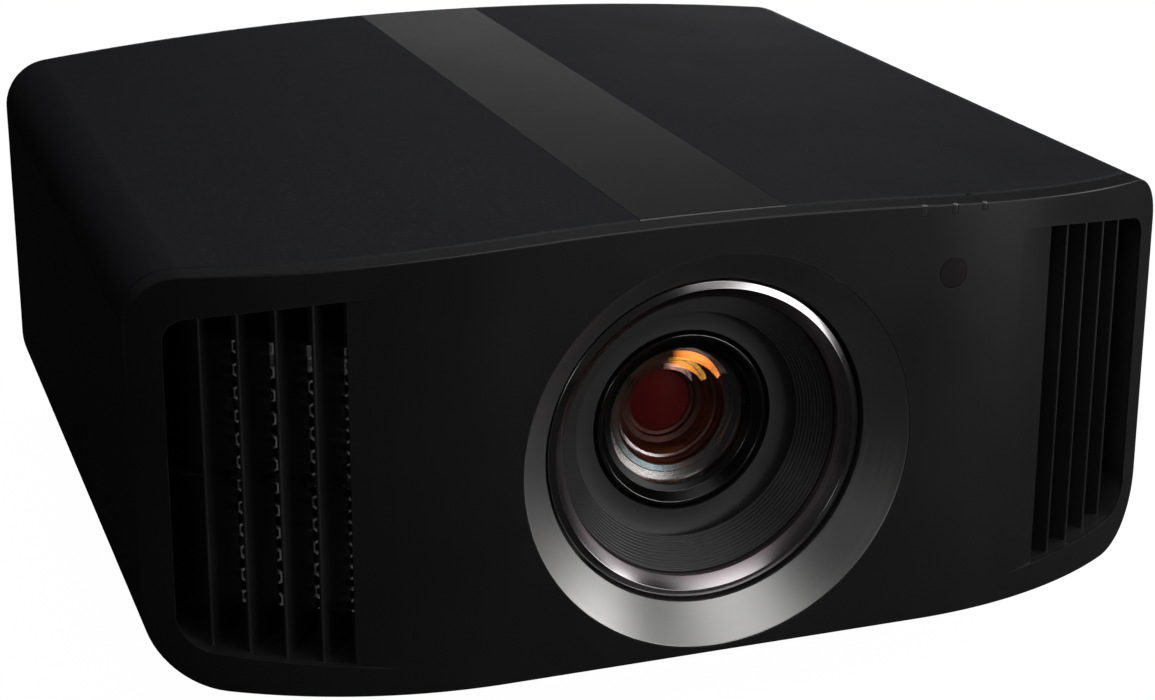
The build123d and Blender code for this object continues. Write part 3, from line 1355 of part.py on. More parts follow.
with BuildPart() as circuit_boards:
    slab(
        KEY_X - CONTROL_HALF,
        KEY_X + CONTROL_HALF,
        BOARD,
        BOARD + BOARD_T,
        KEY_Z - CONTROL_TALL,
        KEY_Z + CONTROL_TALL,
    )
    for spot in KEY_SPOTS.values():
        slab(
            spot[0] - SWITCH / 2,
            spot[0] + SWITCH / 2,
            BOARD,
            SWITCH_TOP,
            spot[1] - SWITCH / 2,
            spot[1] + SWITCH / 2,
        )
    slab(TERMINAL_LEFT, TERMINAL_RIGHT, BOARD, BOARD + BOARD_T, TERMINAL_LOW, TERMINAL_HIGH)
    slab(SUPPLY_LEFT, SUPPLY_RIGHT, SUPPLY_START, SUPPLY_END, MAIN_Z, MAIN_Z + BOARD_T)
    for chip_depth in (SUPPLY_START + CHIP, (SUPPLY_START + SUPPLY_END) / 2, SUPPLY_END - CHIP):
        slab(
            SUPPLY_X - CHIP / 2,
            SUPPLY_X + CHIP / 2,
            chip_depth - CHIP / 2,
            chip_depth + CHIP / 2,
            MAIN_Z,
            MAIN_Z + BOARD_T + CHIP_T,
        )
save(circuit_boards, "circuit_boards")

with BuildPart() as power_supply:
    slab(SUPPLY_LEFT, SUPPLY_RIGHT, SUPPLY_START, SUPPLY_END, DECK_Z, SUPPLY_HIGH)
    slab(
        SUPPLY_LEFT + SUPPLY_WALL,
        SUPPLY_RIGHT - SUPPLY_WALL,
        SUPPLY_START,
        SUPPLY_END - SUPPLY_WALL,
        DECK_Z + SUPPLY_WALL,
        SUPPLY_HIGH - SUPPLY_WALL,
        mode=Mode.SUBTRACT,
    )
    slab(
        SUPPLY_X - CHIP,
        SUPPLY_X + CHIP,
        SUPPLY_START + CHIP,
        SUPPLY_END - CHIP,
        DECK_Z,
        SUPPLY_HIGH - CHIP,
    )
    for post_x in (SUPPLY_LEFT + 2 * POST_R, SUPPLY_RIGHT - 2 * POST_R):
        for post_depth in (SUPPLY_START + 2 * POST_R, SUPPLY_END - 2 * POST_R):
            bar_z(POST_R, SUPPLY_HIGH - SUPPLY_WALL, MAIN_Z, post_x, post_depth)
save(power_supply, "power_supply")

# Signal sockets and mains inlet
with BuildPart() as signal_sockets:
    for spot, socket_width, socket_tall in SOCKETS:
        with BuildSketch(back(REAR_FACE)):
            with Locations(spot):
                Rectangle(socket_width + 2 * SOCKET_WALL, socket_tall + 2 * SOCKET_WALL)
        extrude(amount=REAR_FACE - BOARD - BOARD_T)
        with BuildSketch(back(REAR_FACE)):
            with Locations(spot):
                Rectangle(socket_width, socket_tall)
        extrude(amount=REAR_FACE - BOARD - BOARD_T - SOCKET_BACK, mode=Mode.SUBTRACT)
    bar_y(JACK_R + SOCKET_WALL, BOARD + BOARD_T, REAR_FACE, JACK_X, SOCKET_Z)
    bar_y(JACK_R, BOARD + BOARD_T + SOCKET_BACK, REAR_FACE, JACK_X, SOCKET_Z, mode=Mode.SUBTRACT)
save(signal_sockets, "signal_sockets")

with BuildPart() as mains_inlet:
    with BuildSketch(back(REAR_FACE)):
        with Locations((INLET_X, INLET_Z)):
            Rectangle(INLET_WIDTH + 2 * INLET_WALL, INLET_TALL + 2 * INLET_WALL)
    extrude(amount=INLET_LENGTH)
    with BuildSketch(back(REAR_INNER)):
        with Locations((INLET_X, INLET_Z)):
            Rectangle(INLET_WIDTH + 4 * INLET_WALL, INLET_TALL + 4 * INLET_WALL)
    extrude(amount=INLET_WALL)
    with BuildSketch(back(REAR_FACE)):
        with Locations((INLET_X, INLET_Z)):
            Rectangle(INLET_WIDTH, INLET_TALL)
    extrude(amount=INLET_POCKET, mode=Mode.SUBTRACT)
    with BuildSketch(back(REAR_FACE - INLET_POCKET)):
        with Locations(
            (INLET_X - PIN_PITCH, INLET_Z - PIN_TALL / 2),
            (INLET_X, INLET_Z + PIN_TALL / 2),
            (INLET_X + PIN_PITCH, INLET_Z - PIN_TALL / 2),
        ):
            Rectangle(PIN_WIDTH, PIN_TALL)
    extrude(amount=-PIN_LENGTH)
save(mains_inlet, "mains_inlet")

# Air filter cassette that pulls out of the rear panel, with its pad
FILTER_LEFT = FILTER_X - FILTER_PITCH * (FILTER_SLOTS - 1) / 2

with BuildPart() as filter_cassette:
    slab(
        FILTER_X - FILTER_WIDTH / 2,
        FILTER_X + FILTER_WIDTH / 2,
        REAR_FACE - FILTER_LENGTH,
        REAR_FACE,
        FILTER_Z - FILTER_TALL / 2,
        FILTER_Z + FILTER_TALL / 2,
    )
    slab(
        FILTER_X - FILTER_WIDTH / 2 + FILTER_WALL,
        FILTER_X + FILTER_WIDTH / 2 - FILTER_WALL,
        REAR_FACE - FILTER_LENGTH,
        REAR_FACE - FILTER_FACE,
        FILTER_Z - FILTER_TALL / 2 + FILTER_WALL,
        FILTER_Z + FILTER_TALL / 2 - FILTER_WALL,
        mode=Mode.SUBTRACT,
    )
    with BuildSketch(back(REAR_FACE)):
        with Locations(*[(FILTER_LEFT + FILTER_PITCH * slot, FILTER_Z) for slot in range(FILTER_SLOTS)]):
            SlotOverall(FILTER_SLOT_TALL, FILTER_SLOT, rotation=90)
    extrude(amount=FILTER_FACE, mode=Mode.SUBTRACT)
    slab(
        FILTER_X - FILTER_WIDTH / 2 + FILTER_WALL + FIT,
        FILTER_X + FILTER_WIDTH / 2 - FILTER_WALL - FIT,
        REAR_FACE - FILTER_FACE - PAD_T,
        REAR_FACE - FILTER_FACE - FIT,
        FILTER_Z - FILTER_TALL / 2 + FILTER_WALL + FIT,
        FILTER_Z + FILTER_TALL / 2 - FILTER_WALL - FIT,
    )
save(filter_cassette, "filter_cassette")

# Lower case with foot bosses, insert bosses and the rear window
BOSS_LOW = FOOT_TALL + SEAM
FOOT_SPOTS = {
    "front_left_foot": (-FOOT_X, FOOT_FRONT),
    "front_right_foot": (FOOT_X, FOOT_FRONT),
    "rear_left_foot": (-FOOT_X, FOOT_REAR),
    "rear_right_foot": (FOOT_X, FOOT_REAR),
}
INSERT_SPOTS = [(x, depth) for x in (-INSERT_X, INSERT_X) for depth in (INSERT_FRONT, INSERT_REAR)]
INSERT_TOP = CASE_Z + INSERT_LENGTH

with BuildPart() as lower_case:
    add(case_shell.part)
    split(bisect_by=Plane.XY.offset(SEAM_Z), keep=Keep.BOTTOM)
    with BuildSketch(back(CASE_DEPTH)):
        with Locations((0, REAR_MIDDLE_Z)):
            RectangleRounded(2 * REAR_HALF_WIDTH + 2 * FIT, REAR_TALL + 2 * FIT, REAR_CORNER_R + FIT)
        with Locations(*SCREW_SPOTS):
            Circle(SCREW_SHANK_R + FIT)
    extrude(amount=WALL + RUN_GAP, mode=Mode.SUBTRACT)
    for foot_x, foot_depth in FOOT_SPOTS.values():
        bar_z(BOSS_R, BOSS_LOW, FLOOR_Z + BOSS_TOP, foot_x, foot_depth)
        bar_z(STEM_R + FIT, BOSS_LOW, FLOOR_Z + BOSS_TOP, foot_x, foot_depth, mode=Mode.SUBTRACT)
    for insert_x, insert_depth in INSERT_SPOTS:
        bar_z(2 * INSERT_R, CASE_Z, INSERT_TOP + WALL, insert_x, insert_depth)
        bar_z(INSERT_R, CASE_Z, INSERT_TOP, insert_x, insert_depth, mode=Mode.SUBTRACT)
save(lower_case, "lower_case")

with BuildPart() as ceiling_inserts:
    for insert_x, insert_depth in INSERT_SPOTS:
        bar_z(INSERT_R, CASE_Z, INSERT_TOP, insert_x, insert_depth)
        bar_z(INSERT_BORE_R, CASE_Z, INSERT_TOP, insert_x, insert_depth, mode=Mode.SUBTRACT)
save(ceiling_inserts, "ceiling_inserts")

for foot, (foot_x, foot_depth) in FOOT_SPOTS.items():
    with BuildPart() as screw_foot:
        with BuildSketch(Plane(origin=(foot_x, FRONT_Y + foot_depth, 0), x_dir=(1, 0, 0), z_dir=(0, -1, 0))):
            with BuildLine():
                Polyline(
                    (0, 0),
                    (FOOT_R - FOOT_PAD_T / 2, 0),
                    (FOOT_R, FOOT_PAD_T / 2),
                    (FOOT_R, 2 * FOOT_PAD_T),
                    (FOOT_WAIST_R, FOOT_TALL),
                    (STEM_R, FOOT_TALL),
                    (STEM_R, FOOT_TALL + STEM_LENGTH),
                    (0, FOOT_TALL + STEM_LENGTH),
                    close=True,
                )
            make_face()
        revolve(axis=Axis((foot_x, FRONT_Y + foot_depth, 0), (0, 0, 1)))
    save(screw_foot, foot)
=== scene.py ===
# %% [markdown]
# # A home projector, dressed for the camera
# The construction model gives every piece of this projector at its real place. This file
# loads that model as a fixed frame, gives each piece its finish, and swaps the turned
# pieces round the lens for finer surfaces of revolution.

# %% load the frame
import math

import bmesh
import bpy
import numpy as np
from mathutils import Matrix, Vector
from mathutils.bvhtree import BVHTree


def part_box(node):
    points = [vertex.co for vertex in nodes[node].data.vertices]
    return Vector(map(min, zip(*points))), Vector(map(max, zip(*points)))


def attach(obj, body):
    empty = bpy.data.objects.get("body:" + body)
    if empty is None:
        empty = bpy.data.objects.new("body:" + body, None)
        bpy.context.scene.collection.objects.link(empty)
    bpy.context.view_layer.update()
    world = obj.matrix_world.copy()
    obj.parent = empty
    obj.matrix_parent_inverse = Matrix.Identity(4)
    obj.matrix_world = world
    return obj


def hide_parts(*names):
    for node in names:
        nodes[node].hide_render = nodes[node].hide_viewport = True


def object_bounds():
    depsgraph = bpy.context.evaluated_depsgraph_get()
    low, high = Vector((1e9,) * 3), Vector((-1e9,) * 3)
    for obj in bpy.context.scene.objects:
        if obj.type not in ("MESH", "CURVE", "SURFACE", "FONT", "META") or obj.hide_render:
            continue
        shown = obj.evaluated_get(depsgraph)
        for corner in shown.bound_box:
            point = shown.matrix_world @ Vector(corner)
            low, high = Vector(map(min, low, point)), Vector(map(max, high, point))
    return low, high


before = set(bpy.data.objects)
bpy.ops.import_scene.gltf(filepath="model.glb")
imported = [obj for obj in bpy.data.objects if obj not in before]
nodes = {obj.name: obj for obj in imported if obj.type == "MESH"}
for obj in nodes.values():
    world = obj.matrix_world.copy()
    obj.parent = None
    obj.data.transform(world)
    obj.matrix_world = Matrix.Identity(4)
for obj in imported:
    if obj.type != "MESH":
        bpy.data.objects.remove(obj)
scene = bpy.context.scene
cad_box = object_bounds()
MM = 0.001
FRONT = cad_box[0].y
LENS_Z = sum(corner.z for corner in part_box("trim_ring")) / 2
print("pieces in the frame:", len(nodes), "lens axis at", round(LENS_Z / MM, 1), "mm")

# %% [markdown]
# ## The camera
# The photograph looks at the projector from its left, a little from above, with a short
# telephoto lens. The camera could be aimed with a constraint, but its place is given here
# and its three axes are worked out once, from two angles and a very small roll.

# %% camera
CAMERA_TURN = math.radians(-20.01)
CAMERA_RISE = math.radians(19.15)
CAMERA_ROLL = math.radians(0.13)
CAMERA_PLACE = Vector((-430.5, -1242.8, 551.0)) * MM
CAMERA_LENS = 81.9
CAMERA_SENSOR = 36.0
CAMERA_REACH = (0.05, 50.0)


def camera_axes(turn, rise, roll):
    """Right, up and backward axes of a camera that looks along +y, is turned about z by one angle,
    raised by a second and rolled by a third."""
    right = Vector((math.cos(turn), math.sin(turn), 0))
    backward = Vector((
        math.sin(turn) * math.cos(rise),
        -math.cos(turn) * math.cos(rise),
        math.sin(rise),
    ))
    up = backward.cross(right)
    right_rolled = right * math.cos(roll) + up * math.sin(roll)
    up_rolled = up * math.cos(roll) - right * math.sin(roll)
    return right_rolled, up_rolled, backward


camera = bpy.data.objects.new("camera", bpy.data.cameras.new("camera"))
scene.collection.objects.link(camera)
camera.data.lens = CAMERA_LENS
camera.data.sensor_width = CAMERA_SENSOR
camera.data.sensor_fit = "HORIZONTAL"
camera.data.clip_start, camera.data.clip_end = CAMERA_REACH
axes = [list(axis) for axis in camera_axes(CAMERA_TURN, CAMERA_RISE, CAMERA_ROLL)]
camera.matrix_world = Matrix.Translation(CAMERA_PLACE) @ Matrix(axes).transposed().to_4x4()
scene.camera = camera
scene.view_settings.view_transform = "Standard"
print("camera stands", round(CAMERA_PLACE.length, 2), "m from the origin")

# %% [markdown]
# ## Studio: the world
# The projector stands on white, but its dark satin faces show that the studio itself was
# dim: a few soft boxes draw the highlights and little else lights the case. The world is
# therefore white to the camera and dim to the rays that light a piece or mirror in it. A
# plain white world would be simpler, but it would turn every black face grey.

# %% world
world = bpy.data.worlds.new("studio")
scene.world = world
world.use_nodes = True
ROOM_LIGHT = 0.03
ROOM_MIRRORED = 0.02


def link_chain(tree, *sockets):
    """Links sockets in pairs: output, input, output, input and so on."""
    for start, end in zip(sockets[::2], sockets[1::2]):
        tree.links.new(start, end)


def studio_rays(tree, seen, mirrored, rest):
    """One shader for camera rays, one for mirrored and refracted rays and one for the rest;
    returns the output."""
    path = tree.nodes.new("ShaderNodeLightPath")
    either = tree.nodes.new("ShaderNodeMath")
    either.operation = "MAXIMUM"
    shine = tree.nodes.new("ShaderNodeMixShader")
    choose = tree.nodes.new("ShaderNodeMixShader")
    link_chain(
        tree,
        path.outputs["Is Glossy Ray"], either.inputs[0],
        path.outputs["Is Transmission Ray"], either.inputs[1],
        either.outputs[0], shine.inputs[0],
        rest, shine.inputs[1],
        mirrored, shine.inputs[2],
        path.outputs["Is Camera Ray"], choose.inputs[0],
        shine.outputs[0], choose.inputs[1],
        seen, choose.inputs[2],
    )
    return choose.outputs[0]


def plain_light(tree, kind, strength, colour=(1, 1, 1, 1)):
    """A background or emission node of one colour and strength; returns its output."""
    node = tree.nodes.new(kind)
    node.inputs["Color"].default_value = colour
    node.inputs["Strength"].default_value = strength
    return node.outputs[0]


tree = world.node_tree
tree.nodes.clear()
world_out = tree.nodes.new("ShaderNodeOutputWorld")
link_chain(
    tree,
    studio_rays(
        tree,
        plain_light(tree, "ShaderNodeBackground", 1.0),
        plain_light(tree, "ShaderNodeBackground", ROOM_MIRRORED),
        plain_light(tree, "ShaderNodeBackground", ROOM_LIGHT),
    ),
    world_out.inputs["Surface"],
)
print("room light:", ROOM_LIGHT)

# %% [markdown]
# ## Studio: the floor
# The floor could be a curved backdrop, but one large flat square is enough here. To the
# camera it glows white, mixed with a small share of true shading, so that the shadow under
# the case still shows. All other rays see a dim floor, which keeps the lower faces dark.

# %% floor
FLOOR_SPAN = 30.0
FLOOR_GLOW = 1.04
FLOOR_PALE = 0.9
FLOOR_TONE = 0.12
FLOOR_MIRRORED = 0.025
FLOOR_SHADE = 0.05


def put_mesh(name, points, faces, smooth=True):
    """A new object with the given points and faces, at the origin."""
    mesh = bpy.data.meshes.new(name)
    mesh.from_pydata(points.reshape(-1, 3), [], faces)
    mesh.polygons.foreach_set("use_smooth", np.full(len(mesh.polygons), smooth))
    mesh.update()
    piece = bpy.data.objects.new(name, mesh)
    scene.collection.objects.link(piece)
    return piece


def matte(tree, tone):
    """A matte shader of one grey tone; returns its output."""
    node = tree.nodes.new("ShaderNodeBsdfDiffuse")
    node.inputs["Color"].default_value = (tone, tone, tone, 1)
    return node.outputs[0]


def floor_material():
    """White to the camera with a share of true shading for the shadow; dim to all other rays."""
    material = bpy.data.materials.new("studio_floor")
    material.use_nodes = True
    tree = material.node_tree
    tree.nodes.clear()
    seen = tree.nodes.new("ShaderNodeMixShader")
    seen.inputs[0].default_value = FLOOR_SHADE
    out = tree.nodes.new("ShaderNodeOutputMaterial")
    link_chain(
        tree,
        plain_light(tree, "ShaderNodeEmission", FLOOR_GLOW), seen.inputs[1],
        matte(tree, FLOOR_PALE), seen.inputs[2],
        studio_rays(tree, seen.outputs[0], matte(tree, FLOOR_MIRRORED), matte(tree, FLOOR_TONE)),
        out.inputs["Surface"],
    )
    return material


floor_edge = np.array([-FLOOR_SPAN, FLOOR_SPAN])
floor_x, floor_y = np.meshgrid(floor_edge, floor_edge)
floor_points = np.stack([floor_x, floor_y, np.zeros_like(floor_x)], axis=-1)
floor = put_mesh("floor", floor_points, [[0, 1, 3, 2]], smooth=False)
floor.data.materials.append(floor_material())
print("floor spans", 2 * FLOOR_SPAN, "m")

# %% [markdown]
# ## Studio: the lamps
# Each lamp is a soft box: a cloth with a bulb behind it, bright in the middle and fading
# toward its edges. A plain area lamp has hard edges, and satin paint would mirror them as
# hard-edged patches, so a small node tree fades each lamp. Strength is given as radiance,
# because that is what a mirror of the lamp shows, whatever the size of the box. Two low
# cards stand at floor level, where the upright faces look when they are seen from above.

# %% lamps
AIM = Vector((0, -80, 120)) * MM
EDGE_FADE = 36.0
LAMPS = {
    "overhead_soft_box": ((0.35, -0.50, 1.9), 2.4, 1.8, 1.5),
    "right_soft_box": ((1.6, -0.45, 0.6), 1.3, 0.9, 2.4),
    "right_front_soft_box": ((1.25, -1.80, 0.44), 1.25, 0.8, 2.6),
    "front_top_soft_box": ((0.8, -1.9, 1.1), 0.7, 0.5, 2.0),
    "floor_card": ((0.90, -0.95, 0.012), 0.5, 0.6, 1.6),
    "front_left_soft_box": ((-0.95, -1.7, 0.42), 0.5, 0.5, 1.6),
    "back_soft_box": ((0.60, 2.0, 0.56), 1.2, 0.36, 0.20),
    "rear_soft_box": ((0.40, 1.7, 0.14), 1.2, 0.24, 6.0),
    "rear_card": ((0.30, 0.85, 0.012), 0.9, 0.6, 1.4),
}


def maths(tree, kind, first, second):
    """A math node with two inputs, each a socket or a number; returns its output."""
    node = tree.nodes.new("ShaderNodeMath")
    node.operation = kind
    for slot, value in enumerate((first, second)):
        if isinstance(value, (int, float)):
            node.inputs[slot].default_value = value
        else:
            tree.links.new(value, node.inputs[slot])
    return node.outputs[0]


def faded_edges(data):
    """Fades a lamp toward its edges: 36 u (1-u) v (1-v), whose mean over the lamp is one."""
    data.use_nodes = True
    tree = data.node_tree
    place = tree.nodes.new("ShaderNodeNewGeometry")
    parts = tree.nodes.new("ShaderNodeSeparateXYZ")
    tree.links.new(place.outputs["Parametric"], parts.inputs[0])
    across, up = (
        maths(tree, "MULTIPLY", parts.outputs[side], maths(tree, "SUBTRACT", 1.0, parts.outputs[side]))
        for side in ("X", "Y")
    )
    strength = maths(tree, "MULTIPLY", maths(tree, "MULTIPLY", across, up), EDGE_FADE)
    tree.links.new(strength, tree.nodes["Emission"].inputs["Strength"])


def soft_box(name, place, wide, tall, radiance):
    """A rectangular soft lamp aimed at the middle of the projector, with a power of pi times
    its area times its radiance."""
    data = bpy.data.lights.new(name, "AREA")
    faded_edges(data)
    data.shape = "RECTANGLE"
    data.size = wide
    data.size_y = tall
    data.energy = math.pi * wide * tall * radiance
    lamp = bpy.data.objects.new(name, data)
    scene.collection.objects.link(lamp)
    place = Vector(place)
    lamp.location = place
    lamp.rotation_euler = (AIM - place).to_track_quat("-Z", "Y").to_euler()


for lamp_name, (lamp_place, lamp_wide, lamp_tall, lamp_radiance) in LAMPS.items():
    soft_box(lamp_name, lamp_place, lamp_wide, lamp_tall, lamp_radiance)
print("lamps:", list(LAMPS))

# %% [markdown]
# ## Shared surface effects
# Moulded plastic is never one flat colour: it has a fine grain, slow changes of tone where
# it cooled, edges that hands have polished, and a little dust on what faces up. Each of
# these effects could be drawn into every material, but a node group is built once and
# placed wherever it is needed, with its own values.

# %% group helpers
def new_group(name, inputs, outputs):
    """A shader node group with named float or vector sockets; returns its tree and two end nodes."""
    tree = bpy.data.node_groups.new(name, "ShaderNodeTree")
    for label, kind, value in inputs:
        socket = tree.interface.new_socket(label, in_out="INPUT", socket_type=kind)
        if value is not None:
            socket.default_value = value
    for label, kind in outputs:
        tree.interface.new_socket(label, in_out="OUTPUT", socket_type=kind)
    return tree, tree.nodes.new("NodeGroupInput"), tree.nodes.new("NodeGroupOutput")


def spread(tree, value, low, high, to_low, to_high):
    """A map-range node: carries low..high onto to_low..to_high, clamped."""
    node = tree.nodes.new("ShaderNodeMapRange")
    tree.links.new(value, node.inputs["Value"])
    ends = {"From Min": low, "From Max": high, "To Min": to_low, "To Max": to_high}
    for label, number in ends.items():
        node.inputs[label].default_value = number
    return node.outputs["Result"]


print("group helpers ready")


# %% [markdown]
# ### Grain, worn edges and dust
# Grain is noise at two sizes. Worn edges are found with the Bevel node, whose rounded normal
# leaves the true one only near an edge. Dust lies on what looks up, in specks.

# %% effect groups
def moulded_grain():
    """Grain: fine noise for the height of the texture, slow noise for changes of tone."""
    tree, start, end = new_group(
        "moulded_grain",
        [("Vector", "NodeSocketVector", None), ("Fineness", "NodeSocketFloat", 1500.0)],
        [("Height", "NodeSocketFloat"), ("Tone", "NodeSocketFloat")],
    )
    fine = tree.nodes.new("ShaderNodeTexNoise")
    fine.inputs["Detail"].default_value = 3.0
    slow = tree.nodes.new("ShaderNodeTexNoise")
    slow.inputs["Scale"].default_value = 16.0
    slow.inputs["Detail"].default_value = 4.0
    link_chain(
        tree,
        start.outputs["Vector"], fine.inputs["Vector"],
        start.outputs["Fineness"], fine.inputs["Scale"],
        start.outputs["Vector"], slow.inputs["Vector"],
        fine.outputs["Fac"], end.inputs["Height"],
        spread(tree, slow.outputs["Fac"], 0.3, 0.7, 0.0, 1.0), end.inputs["Tone"],
    )
    return tree


def worn_edges():
    """Edge mask: where a rounded normal leaves the true one, broken up by noise."""
    tree, start, end = new_group(
        "worn_edges",
        [("Vector", "NodeSocketVector", None), ("Reach", "NodeSocketFloat", 0.0008)],
        [("Mask", "NodeSocketFloat")],
    )
    rounded = tree.nodes.new("ShaderNodeBevel")
    rounded.samples = 6
    shape = tree.nodes.new("ShaderNodeNewGeometry")
    dot = tree.nodes.new("ShaderNodeVectorMath")
    dot.operation = "DOT_PRODUCT"
    breaks = tree.nodes.new("ShaderNodeTexNoise")
    breaks.inputs["Scale"].default_value = 90.0
    breaks.inputs["Detail"].default_value = 5.0
    link_chain(
        tree,
        start.outputs["Reach"], rounded.inputs["Radius"],
        rounded.outputs[0], dot.inputs[0],
        shape.outputs["Normal"], dot.inputs[1],
        start.outputs["Vector"], breaks.inputs["Vector"],
    )
    edge = spread(tree, dot.outputs["Value"], 0.98, 0.80, 0.0, 1.0)
    patch = spread(tree, breaks.outputs["Fac"], 0.35, 0.65, 0.25, 1.0)
    tree.links.new(maths(tree, "MULTIPLY", edge, patch), end.inputs["Mask"])
    return tree


def settled_dust():
    """Dust mask: faces that look up, times a speckled noise."""
    tree, start, end = new_group(
        "settled_dust",
        [("Vector", "NodeSocketVector", None)],
        [("Mask", "NodeSocketFloat")],
    )
    shape = tree.nodes.new("ShaderNodeNewGeometry")
    parts = tree.nodes.new("ShaderNodeSeparateXYZ")
    specks = tree.nodes.new("ShaderNodeTexNoise")
    specks.inputs["Scale"].default_value = 420.0
    specks.inputs["Detail"].default_value = 2.0
    link_chain(
        tree,
        shape.outputs["Normal"], parts.inputs[0],
        start.outputs["Vector"], specks.inputs["Vector"],
    )
    up = spread(tree, parts.outputs["Z"], 0.5, 1.0, 0.0, 1.0)
    speck = spread(tree, specks.outputs["Fac"], 0.55, 0.85, 0.0, 1.0)
    tree.links.new(maths(tree, "MULTIPLY", up, speck), end.inputs["Mask"])
    return tree


GRAIN = moulded_grain()
WEAR = worn_edges()
DUST = settled_dust()
print("effect groups:", [g.name for g in bpy.data.node_groups])

# %% [markdown]
# ## Moulded and painted finishes
# Nearly every outer piece is moulded plastic or painted sheet: a base tone that drifts a
# little, a roughness that drifts with it, a grain that catches the light, edges a touch
# paler and a breath of dust. One function lays out those nodes and each finish gives it
# its own colours and sizes.

# %% moulded finish
def colour_mix(tree, amount, first, second):
    """A colour mix node; each colour is a socket or four numbers, the amount a socket."""
    node = tree.nodes.new("ShaderNodeMix")
    node.data_type = "RGBA"
    tree.links.new(amount, node.inputs["Factor"])
    for label, value in ((6, first), (7, second)):
        if isinstance(value, (tuple, list)):
            node.inputs[label].default_value = value
        else:
            tree.links.new(value, node.inputs[label])
    return node.outputs[2]


def use_group(tree, group, **values):
    """A group node placed in a material tree, with some of its inputs set."""
    node = tree.nodes.new("ShaderNodeGroup")
    node.node_tree = group
    for label, value in values.items():
        node.inputs[label].default_value = value
    return node


def grey(value, warm=0.0):
    """A grey as four numbers, a little warmer or cooler by a share."""
    return (value * (1 + warm), value, value * (1 - warm), 1.0)


GRAIN_DEPTH = 0.2 * MM
DUST_TONE = grey(0.5, 0.05)


def moulded(name, tone, drift, rough, rough_drift, fineness=1500.0, grain=0.25, metal=0.0,
            edge=None, dust=0.04, specular=0.5):
    """A moulded or painted finish: two tones mixed by slow noise, paler edges, dust, and grain
    as bump."""
    material = bpy.data.materials.new(name)
    material.use_nodes = True
    tree = material.node_tree
    shader = tree.nodes["Principled BSDF"]
    place = tree.nodes.new("ShaderNodeTexCoord")
    texture = use_group(tree, GRAIN, Fineness=fineness)
    tree.links.new(place.outputs["Object"], texture.inputs["Vector"])
    colour = colour_mix(tree, texture.outputs["Tone"], tone, drift)
    if edge is not None:
        wear = use_group(tree, WEAR)
        tree.links.new(place.outputs["Object"], wear.inputs["Vector"])
        colour = colour_mix(tree, wear.outputs["Mask"], colour, edge)
    if dust > 0:
        settled = use_group(tree, DUST)
        tree.links.new(place.outputs["Object"], settled.inputs["Vector"])
        amount = maths(tree, "MULTIPLY", settled.outputs["Mask"], dust)
        colour = colour_mix(tree, amount, colour, DUST_TONE)
    tree.links.new(colour, shader.inputs["Base Color"])
    tree.links.new(
        spread(tree, texture.outputs["Tone"], 0.0, 1.0, rough - rough_drift, rough + rough_drift),
        shader.inputs["Roughness"],
    )
    bump = tree.nodes.new("ShaderNodeBump")
    bump.inputs["Strength"].default_value = grain
    bump.inputs["Distance"].default_value = GRAIN_DEPTH
    tree.links.new(texture.outputs["Height"], bump.inputs["Height"])
    tree.links.new(bump.outputs["Normal"], shader.inputs["Normal"])
    shader.inputs["Metallic"].default_value = metal
    shader.inputs["Specular IOR Level"].default_value = specular
    return material


print("moulded finish ready")

# %% [markdown]
# ### Finishes of the outer shell
# The panel is satin black, the cover a matt blue-black and the strip a smoother graphite
# that mirrors the room most. Only the tones, the roughness and the strength of the mirror
# differ, so each finish is one call. Roughness stays well above that of a mirror.

# %% outer finishes
panel_black = moulded(
    "satin_black_panel", grey(0.012), grey(0.014), 0.34, 0.03, grain=0.10, edge=grey(0.05), specular=0.28)
cover_paint = moulded(
    "blue_black_cover", (0.0120, 0.0126, 0.0150, 1), (0.0138, 0.0145, 0.0170, 1), 0.58, 0.03,
    edge=grey(0.04), specular=0.20)
strip_paint = moulded(
    "graphite_strip", grey(0.0080), grey(0.0094), 0.31, 0.02, grain=0.10, edge=grey(0.05), specular=0.42)
lower_black = moulded(
    "lower_case_black", grey(0.013), grey(0.016), 0.52, 0.04, fineness=900.0, grain=0.4, specular=0.35)
fin_black = moulded("louvre_black", grey(0.010), grey(0.013), 0.40, 0.04, edge=grey(0.05))
rear_black = moulded(
    "rear_panel_black", grey(0.012), grey(0.016), 0.45, 0.04, fineness=1100.0, grain=0.35, edge=grey(0.04))
key_black = moulded("key_black", grey(0.020), grey(0.026), 0.38, 0.04, edge=grey(0.08))
rubber = moulded("foot_rubber", grey(0.014), grey(0.020), 0.75, 0.06, fineness=700.0, grain=0.6)
window_black = moulded(
    "sensor_black", (0.008, 0.006, 0.006, 1), (0.010, 0.007, 0.007, 1), 0.30, 0.02, grain=0.02, dust=0.0,
    specular=0.30)
light_smoke = moulded(
    "indicator_smoke", grey(0.030), grey(0.036), 0.14, 0.02, grain=0.02, dust=0.0, specular=0.9)
print("outer finishes:", len(bpy.data.materials))

# %% [markdown]
# ### Honeycomb in the vents
# Behind the louvres sits a pale honeycomb sheet, of which only the lit edges of the cells
# are seen. Its plain border is black. Two pieces would do, but the sheet is one piece, so
# a mask on its own coordinates keeps the pale finish inside the field of cells.

# %% honeycomb finish
mesh_grey = moulded("honeycomb_grey", grey(0.80), grey(0.88), 0.36, 0.05)
MESH_OUT = 0.2145
MESH_LOW = LENS_Z - 0.070
MESH_TOP = LENS_Z + 0.0545
MESH_BORDER = grey(0.006)


